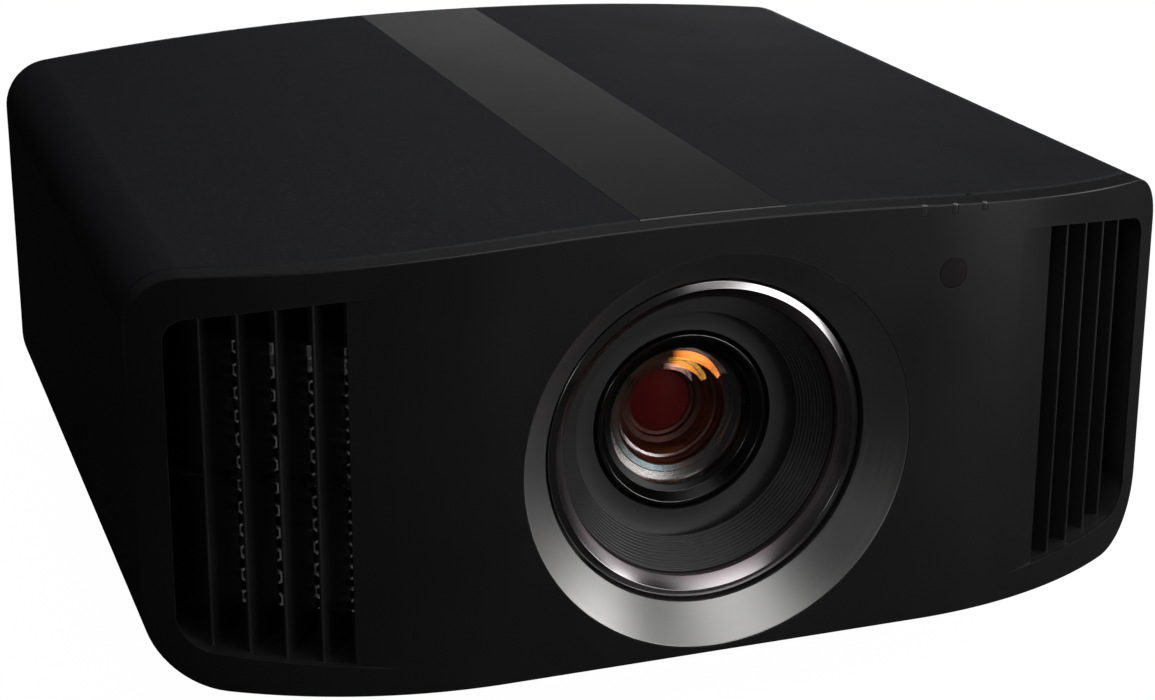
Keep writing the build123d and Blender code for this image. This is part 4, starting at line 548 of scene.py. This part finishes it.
def dark_border(material, tone):
    """Keeps a finish inside the honeycomb's field and gives the plain border round it one dark tone."""
    tree = material.node_tree
    base = tree.nodes["Principled BSDF"].inputs["Base Color"]
    parts = tree.nodes.new("ShaderNodeSeparateXYZ")
    tree.links.new(tree.nodes["Texture Coordinate"].outputs["Object"], parts.inputs[0])
    across = maths(tree, "LESS_THAN", maths(tree, "ABSOLUTE", parts.outputs["X"], 0.0), MESH_OUT)
    low = maths(tree, "GREATER_THAN", parts.outputs["Z"], MESH_LOW)
    top = maths(tree, "LESS_THAN", parts.outputs["Z"], MESH_TOP)
    field = maths(tree, "MULTIPLY", across, maths(tree, "MULTIPLY", low, top))
    tree.links.new(colour_mix(tree, field, tone, base.links[0].from_socket), base)


dark_border(mesh_grey, MESH_BORDER)
print("honeycomb field is", round((MESH_TOP - MESH_LOW) / MM, 1), "mm tall")

# %% [markdown]
# ### Finishes of the works inside
# The works are seen only through gaps and when pieces move, yet each keeps the finish of its
# real material: zinc-plated sheet, cast and machined alloy, brass, nylon and circuit board.

# %% inner finishes
inner_black = moulded("inner_black", grey(0.006), grey(0.009), 0.55, 0.05, dust=0.08)
zinc = moulded(
    "zinc_plate", grey(0.52, 0.02), grey(0.62, 0.02), 0.38, 0.06, fineness=300.0, grain=0.1, metal=1.0)
dark_alloy = moulded("dark_alloy", grey(0.10), grey(0.14), 0.40, 0.06, fineness=500.0, grain=0.2, metal=1.0)
bright_alloy = moulded(
    "bright_alloy", grey(0.66), grey(0.74), 0.30, 0.05, fineness=400.0, grain=0.1, metal=1.0)
screw_black = moulded(
    "black_screw", grey(0.05), grey(0.08), 0.35, 0.05, fineness=600.0, grain=0.15, metal=1.0)
brass = moulded(
    "brass", (0.62, 0.42, 0.16, 1), (0.70, 0.50, 0.22, 1), 0.28, 0.05, fineness=400.0, grain=0.08, metal=1.0)
gear_nylon = moulded("gear_nylon", grey(0.62, 0.03), grey(0.70, 0.03), 0.45, 0.05, fineness=900.0, grain=0.2)
board_green = moulded("board_green", (0.012, 0.07, 0.035, 1), (0.018, 0.09, 0.045, 1), 0.35, 0.05, grain=0.1)
print("finishes:", len(bpy.data.materials))

# %% [markdown]
# ## Dressing the frame
# The construction pieces already have the right shapes, so most of them only need their
# finish. Materials could be set one by one in the interface, but a table from finish to
# pieces shows at a glance what is made of what.

# %% dress the nodes
FINISH_OF = {
    panel_black: ["front_panel"],
    cover_paint: ["top_cover"],
    lower_black: ["lower_case"],
    strip_paint: ["top_trim"],
    window_black: ["sensor_window"],
    fin_black: ["left_louvre", "right_louvre"],
    mesh_grey: ["vent_meshes"],
    rear_black: ["rear_panel", "filter_cassette"],
    key_black: [
        "power_key", "input_key", "menu_key", "back_key", "ok_key", "up_key", "down_key", "left_key",
        "right_key",
    ],
    rubber: ["front_left_foot", "front_right_foot", "rear_left_foot", "rear_right_foot"],
    inner_black: ["lens_barrel", "zoom_cell", "fan_frames", "left_rotor", "right_rotor", "mains_inlet"],
    zinc: ["chassis_plate", "power_supply"],
    dark_alloy: [
        "signal_sockets", "engine_case", "laser_source", "lens_mount", "horizontal_stage", "vertical_stage",
    ],
    bright_alloy: [
        "heat_sink", "horizontal_screw", "vertical_screw", "lens_motors", "horizontal_drive",
        "vertical_drive",
    ],
    screw_black: ["case_screws"],
    brass: ["ceiling_inserts"],
    gear_nylon: ["focus_ring", "zoom_ring", "focus_pinion", "zoom_pinion"],
    board_green: ["circuit_boards"],
}


def dress(name, material):
    """One finish on every slot of a construction node."""
    mesh = nodes[name].data
    mesh.materials.clear()
    mesh.materials.append(material)


for material, names in FINISH_OF.items():
    for name in names:
        dress(name, material)
print("dressed:", sum(len(names) for names in FINISH_OF.values()))

# %% [markdown]
# ## Turned pieces round the lens
# Everything round the lens is turned on a lathe: a wide satin funnel, a bright ring, a
# ribbed black throat and the lens cell. The frame holds them as solids with flat facets.
# A profile carried round the lens axis as a fine grid gives true circles and small rounded
# edges, and those thin rounded edges are what draws the bright lines in the photograph.

# %% rounded outline
def rounded(corners, radii, steps=5):
    """Closed outline with rounded corners: at each corner P with arms a and b of a length t,
    the curve (1-s)^2 (P+a t) + 2 s (1-s) P + s^2 (P+b t) for s from 0 to 1."""
    spot = np.array(corners, float)
    before = np.roll(spot, 1, axis=0) - spot
    after = np.roll(spot, -1, axis=0) - spot
    reach = np.minimum(np.linalg.norm(before, axis=1), np.linalg.norm(after, axis=1))
    before = before / np.linalg.norm(before, axis=1, keepdims=True)
    after = after / np.linalg.norm(after, axis=1, keepdims=True)
    half = np.arccos(np.clip((before * after).sum(1), -1, 1)) / 2
    arm = np.minimum(np.broadcast_to(radii, half.shape) / np.tan(half), 0.45 * reach)[:, None, None]
    s = np.linspace(0, 1, steps)[None, :, None]
    spot, before, after = spot[:, None], before[:, None], after[:, None]
    curve = (1 - s) ** 2 * (spot + before * arm) + 2 * s * (1 - s) * spot + s**2 * (spot + after * arm)
    return curve.reshape(-1, 2)


print("a rounded square has", len(rounded([(0, 0), (1, 0), (1, 1), (0, 1)], 0.1)), "points")

# %% [markdown]
# ### The lathe
# Blender's Screw modifier could turn a profile too. Computing the grid directly also gives a
# clean map, with one axis round the piece and one across it, and lets a value be written on
# each ring of points. The finishes read both.

# %% lathe
SEGMENTS = 288
SHARP = math.radians(35)
MERGE = 1e-7


def lathe(name, profile, body, material, stands_for=(), closed=True, marks=None):
    """Surface of revolution about the lens axis: point (i, j) is x = r_i cos t_j,
    z = lens + r_i sin t_j, y = front + d_i, for a profile of radii r and depths d in
    millimetres and t once round. An open profile starts and ends on the axis."""
    radius, depth = profile.T * MM
    turn = np.linspace(0, 2 * np.pi, SEGMENTS, endpoint=False)
    points = np.stack([
        radius[:, None] * np.cos(turn),
        np.broadcast_to(FRONT + depth[:, None], (len(radius), SEGMENTS)),
        LENS_Z + radius[:, None] * np.sin(turn),
    ], axis=-1)
    rows = len(radius) if closed else len(radius) - 1
    i, j = np.meshgrid(np.arange(rows), np.arange(SEGMENTS), indexing="ij")
    below, beside = (i + 1) % len(radius), (j + 1) % SEGMENTS
    area = np.sum(radius * np.roll(depth, -1) - np.roll(radius, -1) * depth)
    here, next_row = i * SEGMENTS, below * SEGMENTS
    corners = [here + j, next_row + j, next_row + beside, here + beside]
    order = corners if area > 0 else corners[::-1]
    piece = put_mesh(name, points, np.stack(order, axis=-1).reshape(-1, 4).tolist())
    along = np.stack([j, j, j + 1, j + 1], axis=-1) / SEGMENTS
    across = np.stack([i, i + 1, i + 1, i], axis=-1) / rows
    if area <= 0:
        along, across = along[..., ::-1], across[..., ::-1]
    layer = piece.data.uv_layers.new(name="lathe")
    layer.data.foreach_set("uv", np.stack([along, across], axis=-1).ravel().astype(np.float32))
    if marks is not None:
        mark = piece.data.attributes.new("mark", "FLOAT", "POINT")
        mark.data.foreach_set("value", np.repeat(marks, SEGMENTS).astype(np.float32))
    if not closed:
        mesh_edit = bmesh.new()
        mesh_edit.from_mesh(piece.data)
        bmesh.ops.remove_doubles(mesh_edit, verts=mesh_edit.verts, dist=MERGE)
        mesh_edit.to_mesh(piece.data)
        mesh_edit.free()
    piece.data.set_sharp_from_angle(angle=SHARP)
    weighted = piece.modifiers.new("even_shading", "WEIGHTED_NORMAL")
    weighted.keep_sharp = True
    piece.data.materials.append(material)
    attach(piece, body)
    if stands_for:
        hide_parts(*stands_for)
    print(name, len(piece.data.polygons), "faces")
    return piece


print("the lathe turns in", SEGMENTS, "steps")

# %% [markdown]
# ### Turned metal
# The funnel and the bright ring are metal that was turned and then blasted: a lathe leaves
# very fine rings, so roughness and bump run along the turning direction. The unwrapped
# lathe map has one axis round the piece and one across it, so stretched noise on that map
# gives rings for free.

# %% turned metal
RING_STRETCH = (6.0, 420.0, 1.0)
RING_DEPTH = 0.1 * MM
ROUGH_DRIFT = 0.04


def turned_metal(name, tone, drift, rough, polish_rough=None, polish_tone=None, rings=0.06):
    """Turned metal: noise stretched along the turn axis of the lathe map, and a polished share
    by the mark."""
    material = bpy.data.materials.new(name)
    material.use_nodes = True
    tree = material.node_tree
    shader = tree.nodes["Principled BSDF"]
    place = tree.nodes.new("ShaderNodeUVMap")
    place.uv_map = "lathe"
    stretch = tree.nodes.new("ShaderNodeMapping")
    stretch.inputs["Scale"].default_value = RING_STRETCH
    ring = tree.nodes.new("ShaderNodeTexNoise")
    ring.inputs["Scale"].default_value = 1.0
    ring.inputs["Detail"].default_value = 3.0
    link_chain(
        tree,
        place.outputs["UV"], stretch.inputs["Vector"],
        stretch.outputs["Vector"], ring.inputs["Vector"],
    )
    colour = colour_mix(tree, ring.outputs["Fac"], tone, drift)
    roughness = spread(tree, ring.outputs["Fac"], 0.2, 0.8, rough - ROUGH_DRIFT, rough + ROUGH_DRIFT)
    if polish_rough is not None:
        mark = tree.nodes.new("ShaderNodeAttribute")
        mark.attribute_name = "mark"
        colour = colour_mix(tree, mark.outputs["Fac"], colour, polish_tone)
        blend = tree.nodes.new("ShaderNodeMix")
        link_chain(
            tree,
            mark.outputs["Fac"], blend.inputs["Factor"],
            roughness, blend.inputs["A"],
        )
        blend.inputs["B"].default_value = polish_rough
        roughness = blend.outputs["Result"]
    bump = tree.nodes.new("ShaderNodeBump")
    bump.inputs["Strength"].default_value = rings
    bump.inputs["Distance"].default_value = RING_DEPTH
    link_chain(
        tree,
        ring.outputs["Fac"], bump.inputs["Height"],
        bump.outputs["Normal"], shader.inputs["Normal"],
        colour, shader.inputs["Base Color"],
        roughness, shader.inputs["Roughness"],
    )
    shader.inputs["Metallic"].default_value = 1.0
    return material


funnel_metal = turned_metal("funnel_metal", grey(0.33, 0.01), grey(0.38, 0.01), 0.40)
ring_metal = turned_metal(
    "ring_metal", (0.24, 0.205, 0.215, 1), (0.28, 0.24, 0.25, 1), 0.36, 0.12, (0.42, 0.40, 0.405, 1))
cell_metal = turned_metal("cell_metal", grey(0.020), grey(0.030), 0.32, 0.14, grey(0.35), rings=0.01)
spacer_metal = turned_metal(
    "spacer_metal", (0.10, 0.025, 0.018, 1), (0.14, 0.04, 0.03, 1), 0.34, 0.22, (0.34, 0.31, 0.30, 1),
    rings=0.01)
throat_black = moulded(
    "throat_black", grey(0.030), grey(0.038), 0.31, 0.02, fineness=1800.0, grain=0.1, dust=0.0, specular=0.9)
dish_black = moulded(
    "dish_black", grey(0.022), grey(0.028), 0.40, 0.04, fineness=1800.0, grain=0.1, dust=0.0, specular=0.9)
print("turned finishes made")

# %% [markdown]
# ### Funnel, bright ring and ribbed throat
# The funnel narrows from the panel to the bright ring. The ring is a polished lip and a
# satin cone. Behind it the throat goes in by eleven steps, which break up stray light and
# show as fine lit rings.

# %% funnel, ring and throat
BEZEL_R = 92.4
BEZEL_THROAT_R = 77.0
BEZEL_THROAT = 16.0
BEZEL_WALL = 2.5
SHELF = 30.0
SHELF_WALL = 3.0
SHELF_R = 70.0
RING_R = 75.2
RING_FRONT = 16.8
RING_LIP = 3.4
LIP_SLANT = 1.2
LIP_EASE = 0.6
LIP_BLEND = 0.5
RING_CONE = 22.0
RING_THROAT_R = 66.7
RING_THROAT = 25.9
STEPS = 11
THROAT_END_R = 54.3
THROAT_END = 40.7
THROAT_WALL = 2.5
GAP = 0.3

funnel_line = rounded([
    (BEZEL_R, 0),
    (BEZEL_R, BEZEL_WALL),
    (BEZEL_THROAT_R + BEZEL_WALL, BEZEL_THROAT + BEZEL_WALL),
    (BEZEL_THROAT_R + BEZEL_WALL, SHELF + SHELF_WALL),
    (SHELF_R, SHELF + SHELF_WALL),
    (SHELF_R, SHELF),
    (BEZEL_THROAT_R, SHELF),
    (BEZEL_THROAT_R, BEZEL_THROAT),
], [0.3, 0.3, 0.5, 0.3, 0.3, 0.3, 0.3, 0.8])
lathe("funnel", funnel_line, "case", funnel_metal, ["lens_bezel"])

ring_line = rounded([
    (RING_R, RING_FRONT + LIP_SLANT),
    (RING_R, SHELF),
    (RING_THROAT_R, SHELF),
    (RING_THROAT_R, RING_CONE),
    (RING_R - RING_LIP, RING_FRONT),
], [0.4, 0.3, 0.3, 0.4, 0.4], steps=7)
ring_polish = np.clip((ring_line[:, 0] - (RING_R - RING_LIP - LIP_EASE)) / LIP_BLEND, 0, 1)
lathe("bright_ring", ring_line, "case", ring_metal, ["trim_ring"], marks=ring_polish)

throat_front_r = RING_THROAT_R - GAP
stair = np.arange(STEPS)
stair_in = throat_front_r - (throat_front_r - THROAT_END_R) * (stair + 1) / STEPS
stair_start = RING_THROAT + (THROAT_END - RING_THROAT) * stair / STEPS
stair_end = RING_THROAT + (THROAT_END - RING_THROAT) * (stair + 1) / STEPS
stair_line = np.stack([stair_in, stair_start, stair_in, stair_end], axis=-1).reshape(-1, 2)
throat_corners = np.concatenate([
    [(throat_front_r, RING_THROAT)],
    stair_line,
    [(THROAT_END_R + THROAT_WALL, THROAT_END), (throat_front_r, SHELF + SHELF_WALL + THROAT_WALL)],
])
throat_line = rounded(throat_corners, 0.22, steps=4)
lathe("ribbed_throat", throat_line, "case", throat_black, ["lens_baffle"])

# %% [markdown]
# ### Dish and lens cell
# The dish closes the space round the lens and moves with it. The lens cell is black turned
# metal with two thin polished rims and a sloping ledge behind the glass. The polish could
# be separate rings, but a mark written on the rounded corners of the outline keeps the cell
# one piece.

# %% dish
DISH_R = 65.0
DISH_FRONT = 42.6
DISH_SINK = 3.6
DISH_WALL = 2.0
DISH_STEPS = 24
BORE_R = 43.6

dish_share = np.linspace(0, 1, DISH_STEPS)
dish_r = DISH_R + (BORE_R - DISH_R) * dish_share
dish_d = DISH_FRONT + DISH_SINK * np.sin(dish_share * np.pi / 2)
dish_line = np.concatenate([
    np.stack([dish_r, dish_d], axis=-1),
    np.stack([dish_r, dish_d + DISH_WALL], axis=-1)[::-1],
])
lathe("lens_dish", dish_line, "lens_carriage", dish_black, ["lens_shroud"])

# %% lens cell
CELL_R = 43.3
CELL_FRONT = 46.1
CELL_RIM_R = 41.1
CELL_RIM = 1.2
CELL_STEP_R = 36.2
CELL_STEP = 50.2
CELL_END = 84.0
CELL_WALL = 5.0
CELL_ROUND = 0.25
CELL_STEPS = 6
GLASS_R = 33.0
GLASS_RIM = 55.5
GLASS_EDGE = 3.0
GLASS_SAG = 4.2
LEDGE = 4.8
LEDGE_R = 26.5
LEDGE_SHINE = 0.45
LEDGE_BACK = 0.5
CONE_SLOPE = 0.33
RIM_SPREAD = 0.3
STEP_SPREAD = 0.4

glass_seat = GLASS_RIM + GLASS_EDGE
ledge_end = glass_seat + LEDGE
cell_line = rounded([
    (CELL_RIM_R, CELL_FRONT),
    (CELL_R, CELL_FRONT + CELL_R - CELL_RIM_R),
    (CELL_R, CELL_END),
    (CELL_R - CELL_WALL, CELL_END),
    (CELL_R - CELL_WALL, ledge_end),
    (LEDGE_R, ledge_end),
    (LEDGE_R, glass_seat + (GLASS_R - LEDGE_R) * CONE_SLOPE),
    (GLASS_R + GAP, glass_seat),
    (GLASS_R + GAP, CELL_STEP + CELL_RIM),
    (CELL_STEP_R, CELL_STEP),
    (CELL_RIM_R - CELL_RIM, CELL_FRONT),
], CELL_ROUND, steps=CELL_STEPS)
cell_r, cell_d = cell_line.T
on_ledge_r = np.abs(cell_r - (GLASS_R + LEDGE_R) / 2) < (GLASS_R - LEDGE_R) / 2 + GAP
on_ledge = on_ledge_r * (cell_d < ledge_end - LEDGE_BACK) * (cell_d > GLASS_RIM)
mid_arc = np.resize(np.sin(np.linspace(0, np.pi, CELL_STEPS)), len(cell_line))
front_rim = np.exp(-((cell_d - CELL_FRONT) / RIM_SPREAD) ** 2)
step_rim = np.exp(-(np.hypot(cell_r - CELL_STEP_R, cell_d - CELL_STEP) / STEP_SPREAD) ** 2)
cell_polish = np.clip((front_rim + step_rim) * mid_arc + LEDGE_SHINE * on_ledge, 0, 1)
lathe("lens_cell", cell_line, "focus_group", cell_metal, ["front_cell"], marks=cell_polish)

# %% [markdown]
# ### Coated glass
# Lens glass is clear, and a thin coating colours the little light that it throws back. The
# Principled shader gives this with full transmission and a tinted mirror. Where the coating
# changes toward the rim, the mark mixes two tints. Shadow rays pass straight through, so
# that the lamps light what lies behind the glass without slow, noisy caustics.

# %% coated glass
SMEAR_SIZE = 60.0
SMEAR_ROUGH = 0.006


def coated_glass(name, tint, reflection, ior=1.6, mirror=0.0, middle=None):
    """Clear glass with a tint through it and a coating that colours what it throws back; with a
    middle colour the coating changes from that to the outer one by the mark."""
    material = bpy.data.materials.new(name)
    material.use_nodes = True
    tree = material.node_tree
    shader = tree.nodes["Principled BSDF"]
    place = tree.nodes.new("ShaderNodeTexCoord")
    smear = tree.nodes.new("ShaderNodeTexNoise")
    smear.inputs["Scale"].default_value = SMEAR_SIZE
    tree.links.new(place.outputs["Object"], smear.inputs["Vector"])
    tree.links.new(spread(tree, smear.outputs["Fac"], 0.3, 0.7, 0.0, SMEAR_ROUGH), shader.inputs["Roughness"])
    shader.inputs["Base Color"].default_value = tint
    shader.inputs["Transmission Weight"].default_value = 1.0
    shader.inputs["Metallic"].default_value = mirror
    shader.inputs["IOR"].default_value = ior
    shader.inputs["Specular Tint"].default_value = reflection
    if middle is not None:
        mark = tree.nodes.new("ShaderNodeAttribute")
        mark.attribute_name = "mark"
        coating = colour_mix(tree, mark.outputs["Fac"], middle, reflection)
        tree.links.new(coating, shader.inputs["Specular Tint"])
    path = tree.nodes.new("ShaderNodeLightPath")
    clear = tree.nodes.new("ShaderNodeBsdfTransparent")
    clear.inputs["Color"].default_value = tint
    through = tree.nodes.new("ShaderNodeMixShader")
    link_chain(
        tree,
        path.outputs["Is Shadow Ray"], through.inputs[0],
        shader.outputs[0], through.inputs[1],
        clear.outputs[0], through.inputs[2],
        through.outputs[0], tree.nodes["Material Output"].inputs["Surface"],
    )
    return material


front_coating = coated_glass("front_glass_coated", (1.0, 0.97, 0.96, 1), (1.0, 0.75, 0.70, 1), ior=1.25)
orange_coating = coated_glass(
    "orange_coated_glass", (1.0, 0.92, 0.89, 1), (1.0, 0.24, 0.02, 1), ior=2.5, middle=(0.03, 0.012, 0.01, 1))
amber_coating = coated_glass(
    "amber_coated_glass", (1.0, 0.93, 0.91, 1), (1.0, 0.40, 0.05, 1), ior=2.2, middle=(0.04, 0.02, 0.02, 1))
rose_coating = coated_glass(
    "rose_coated_glass", (1.0, 0.92, 0.91, 1), (1.0, 0.60, 0.56, 1), ior=2.2, middle=(0.06, 0.03, 0.03, 1))
deep_coating = coated_glass(
    "red_coated_glass", (0.55, 0.07, 0.08, 1), (0.5, 0.9, 0.30, 1), ior=1.8, mirror=0.85)
print("coated glasses made")

# %% [markdown]
# ### Front, zoom and rear glass
# Three glasses are pieces of the construction model: the front glass in its cell, the zoom
# glass, which slides, and the rear glass at the light engine. True lens surfaces are parts
# of spheres; a parabola is so near to one at this depth that it serves, and its formula is
# shorter.

# %% front, zoom and rear glass
ZOOM_GLASS_R = 28.0
ZOOM_FRONT = 96.0
ZOOM_SAG = 5.0
ZOOM_EDGE = 4.5
REAR_GLASS_R = 32.0
REAR_GLASS = 171.0
REAR_SAG = 3.0


def lens_line(radius, rim, sag, edge, back_sag, steps=40):
    """Profile of a glass from the middle of its front, over its rim, to the middle of its back:
    depth = rim - sag (1 - (r/R)^2) in front, and rim + edge + back sag (1 - (r/R)^2) behind."""
    share = np.sin(np.linspace(0, np.pi / 2, steps))
    front = np.stack([radius * share, rim - sag * (1 - share**2)], axis=-1)
    behind = np.stack([radius * share, rim + edge + back_sag * (1 - share**2)], axis=-1)[::-1]
    return np.concatenate([front, behind])


front_line = lens_line(GLASS_R, GLASS_RIM, GLASS_SAG, GLASS_EDGE, -GLASS_SAG)
zoom_line = lens_line(ZOOM_GLASS_R, ZOOM_FRONT + ZOOM_SAG, ZOOM_SAG, ZOOM_EDGE, 0.0)
rear_line = lens_line(REAR_GLASS_R, REAR_GLASS, 0.0, ZOOM_EDGE, REAR_SAG)
lathe("first_glass", front_line, "focus_group", front_coating, ["front_glass"], closed=False)
lathe("zoom_lens", zoom_line, "zoom_group", deep_coating, ["zoom_glass"], closed=False)
lathe("rear_lens", rear_line, "lens_carriage", deep_coating, ["rear_glass"], closed=False)
dress("prism_block", deep_coating)

# %% [markdown]
# ### Spacers between the inner glasses
# Behind the front glass more glasses sit in one black tube, held apart by turned rings. Each
# ring ends in a shallow polished cone, and the cones mirror the lamps as grey crescents at
# the lower left. One outline with a step for each ring turns the whole stack.

# %% spacers
SPACER_ROUND = 0.08
SPACER_STEPS = 4
STEEPEST = 0.8
LEAST_IN = 0.1
LEAST_BACK = 0.02
CONE_RINGS = np.array([(24.7, 23.2, 66.2), (19.6, 16.9, 72.6), (16.4, 14.8, 75.0)])

ring_out, ring_in, ring_depth = CONE_RINGS.T
ring_ends = ring_depth + (ring_out - ring_in) * CONE_SLOPE
tube_r, spacer_front = CELL_R - CELL_WALL - GAP, ledge_end + GAP
spacer_corners = np.concatenate([
    [(tube_r, CELL_END), (tube_r, spacer_front), (ring_out[0] + GAP, spacer_front)],
    np.stack([ring_out, ring_depth, ring_in, ring_ends], axis=-1).reshape(-1, 2),
    [(ring_in[-1], CELL_END)],
])
spacer_line = rounded(spacer_corners, SPACER_ROUND, steps=SPACER_STEPS)
run_in, run_back = (np.roll(spacer_line, -1, axis=0) - np.roll(spacer_line, 1, axis=0)).T
on_cone = (run_in < -LEAST_IN) & (run_back > LEAST_BACK) & (run_back < -STEEPEST * run_in)
lathe("glass_spacers", spacer_line, "focus_group", spacer_metal, marks=on_cone.astype(float))

# %% [markdown]
# ### Inner glasses
# Each inner glass has a coned zone at its edge, which mirrors the right front lamp as a
# tinted crescent at the upper right: orange, amber and rose, one behind another. A plain
# dome would mirror the lamp as a small spot near its middle, so the cone is what gives the
# long thin crescents. The last piece is an opaque dark red disc that closes the view: its
# red is painted shade, standing in for the dim depth of the lens behind the glasses.

# %% inner glasses
ZONE_SLOPE = 0.26
ZONE_BLEND = 0.4
SHELL = 0.8
FOURTH_R = 14.6
FOURTH_RIM = 76.0
FOURTH_SAG = 3.2
INNER_GLASSES = {
    "orange_glass": (orange_coating, 29.6, 25.2, 59.3),
    "second_glass": (amber_coating, 24.3, 19.6, 65.4),
    "third_glass": (rose_coating, 19.3, 16.6, 71.8),
}


def bent_line(radius, zone, rim, slope, bulge=1.0, thick=0.6, steps=24):
    """Profile of a thin glass with a coned outer zone: depth = rim - slope (R - r) outside the
    zone radius, and inside it a shallow dome of height bulge (1 - (r/zone)^2) in front of the
    zone's inner edge."""
    dome = zone * np.sin(np.linspace(0, np.pi / 2, steps))
    cone = np.linspace(zone, radius, steps // 2)[1:]
    inner_edge = rim - slope * (radius - zone)
    reach = np.concatenate([dome, cone])
    dome_depth = inner_edge - bulge * (1 - (dome / zone) ** 2)
    front = np.stack([reach, np.concatenate([dome_depth, rim - slope * (radius - cone)])], axis=-1)
    return np.concatenate([front, (front + [0, thick])[::-1]])


for glass_name, (coating, rim_r, zone_r, rim_depth) in INNER_GLASSES.items():
    glass_line = bent_line(rim_r, zone_r, rim_depth, ZONE_SLOPE)
    in_zone = np.clip((glass_line[:, 0] - zone_r + ZONE_BLEND) / ZONE_BLEND, 0, 1)
    lathe(glass_name, glass_line, "focus_group", coating, closed=False, marks=in_zone)

# Painted shade: an opaque dark red finish, not glass, that stands in for the dim depth of the lens.
painted_shade_red = moulded(
    "painted_shade_red", (0.070, 0.010, 0.013, 1), (0.085, 0.012, 0.016, 1), 0.10, 0.02, grain=0.0, dust=0.0,
    specular=1.0)
fourth_line = lens_line(FOURTH_R, FOURTH_RIM, FOURTH_SAG, SHELL, 0.0)
lathe("painted_shade_disc", fourth_line, "focus_group", painted_shade_red, closed=False)

# %% [markdown]
# ## Indicator lights
# Three small light guides end in the top edge of the panel. Each shows a window in front and
# rolls over the edge onto the top, so that its light is seen from above too. The edge falls
# away to the right, so the panel's front and top are measured beside each guide with rays,
# instead of being written down.

# %% places of the light guides
GUIDES = 3
GUIDE_WIDE = 2.6 * MM
GUIDE_TAB = 2.6 * MM
GUIDE_PROUD = 0.2 * MM
DOWN, BACK = Vector((0, 0, -1)), Vector((0, 1, 0))
guide_low, guide_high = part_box("indicator_lights")
guide_x = np.linspace(guide_low.x + GUIDE_WIDE / 2, guide_high.x - GUIDE_WIDE / 2, GUIDES)
depsgraph = bpy.context.evaluated_depsgraph_get()
panel_skin = BVHTree.FromObject(nodes["front_panel"], depsgraph)
cover_skin = BVHTree.FromObject(nodes["top_cover"], depsgraph)


def beside_guide(x):
    """The panel's front y and top z, each as the mean of one ray on either side of a guide."""
    sides = (x - GUIDE_WIDE, x + GUIDE_WIDE)
    level = (guide_low.z + guide_high.z) / 2
    front = np.mean([panel_skin.ray_cast(Vector((side, -1, level)), BACK)[0].y for side in sides])
    above = [Vector((side, front + 2 * GUIDE_TAB, 1)) for side in sides]
    top = np.mean([panel_skin.ray_cast(start, DOWN)[0].z for start in above])
    return front, top


guide_front, guide_top = np.array([beside_guide(x) for x in guide_x]).T
last_x, last_front, last_top = guide_x[-1], guide_front[-1], guide_top[-1]
cover_edge = cover_skin.ray_cast(Vector((last_x, -1, last_top - GUIDE_PROUD)), BACK)[0].y
print("cover edge behind the last guide:", round((cover_edge - FRONT) / MM, 2), "mm")

# %% [markdown]
# ### Bars with rounded ends
# A guide is one rounded outline carried across its width and drawn in a little at both ends.
# The slot of the last guide is open toward the cover, and a fourth bar in the panel's own
# finish closes it level with the top.

# %% light guides
GUIDE_SET_IN = 0.05 * MM
GUIDE_ROLL = 0.8 * MM
GUIDE_EDGE = 0.25 * MM
GUIDE_STEPS = 8
END_STEPS = 5
FLAT_SHARE = 0.85


def guide_points(x, near, far, high):
    """A rounded outline in y and z carried across x, drawn in near both ends by
    edge (1 - sqrt(1 - e^2)), where e goes from 0 to 1 over the last share of the width."""
    line = rounded(
        [(near, guide_low.z), (near, high), (far, high), (far, guide_low.z)],
        [GUIDE_SET_IN, GUIDE_ROLL, GUIDE_EDGE, GUIDE_SET_IN],
        steps=GUIDE_STEPS,
    )
    run = np.roll(line, -1, axis=0) - np.roll(line, 1, axis=0)
    inward = np.stack([run[:, 1], -run[:, 0]], axis=-1) / np.linalg.norm(run, axis=1, keepdims=True)
    end = np.sin(np.linspace(0, np.pi / 2, END_STEPS))
    side = FLAT_SHARE + (1 - FLAT_SHARE) * end
    share = np.concatenate([-side[::-1], side])
    draw = GUIDE_EDGE * (1 - np.sqrt(1 - np.concatenate([end[::-1], end]) ** 2))
    outline = line[None] + inward[None] * draw[:, None, None]
    across = np.broadcast_to(x + GUIDE_WIDE / 2 * share[:, None, None], outline.shape[:2] + (1,))
    return np.concatenate([across, outline], axis=-1)


guide_bars = [
    guide_points(x, front + GUIDE_SET_IN, front + GUIDE_TAB, top + GUIDE_PROUD)
    for x, front, top in zip(guide_x, guide_front, guide_top)
]
panel_bar = guide_points(last_x, last_front + GUIDE_TAB, cover_edge - GUIDE_PROUD, last_top)
guide_grid = np.stack(guide_bars + [panel_bar])
bars, rows, around = guide_grid.shape[:3]
g, i, j = np.meshgrid(np.arange(bars), np.arange(rows - 1), np.arange(around), indexing="ij")
start, beside = (g * rows + i) * around, (j + 1) % around
guide_faces = np.stack([start + j, start + beside, start + around + beside, start + around + j], axis=-1)
ends = (np.arange(bars)[:, None] * rows + [0, rows - 1]).reshape(-1, 1) * around + np.arange(around)
guides = put_mesh("light_guides", guide_grid, guide_faces.reshape(-1, 4).tolist() + ends.tolist())
mesh_edit = bmesh.new()
mesh_edit.from_mesh(guides.data)
bmesh.ops.recalc_face_normals(mesh_edit, faces=mesh_edit.faces)
mesh_edit.to_mesh(guides.data)
mesh_edit.free()
guides.data.set_sharp_from_angle(angle=SHARP)
guides.data.materials.append(light_smoke)
guides.data.materials.append(panel_black)
bar_of_face = np.concatenate([g.ravel(), np.repeat(np.arange(bars), 2)])
guides.data.polygons.foreach_set("material_index", (bar_of_face == bars - 1).astype(np.int32))
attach(guides, "case")
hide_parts("indicator_lights")
print("light guides:", GUIDES, "with", len(guides.data.polygons), "faces")
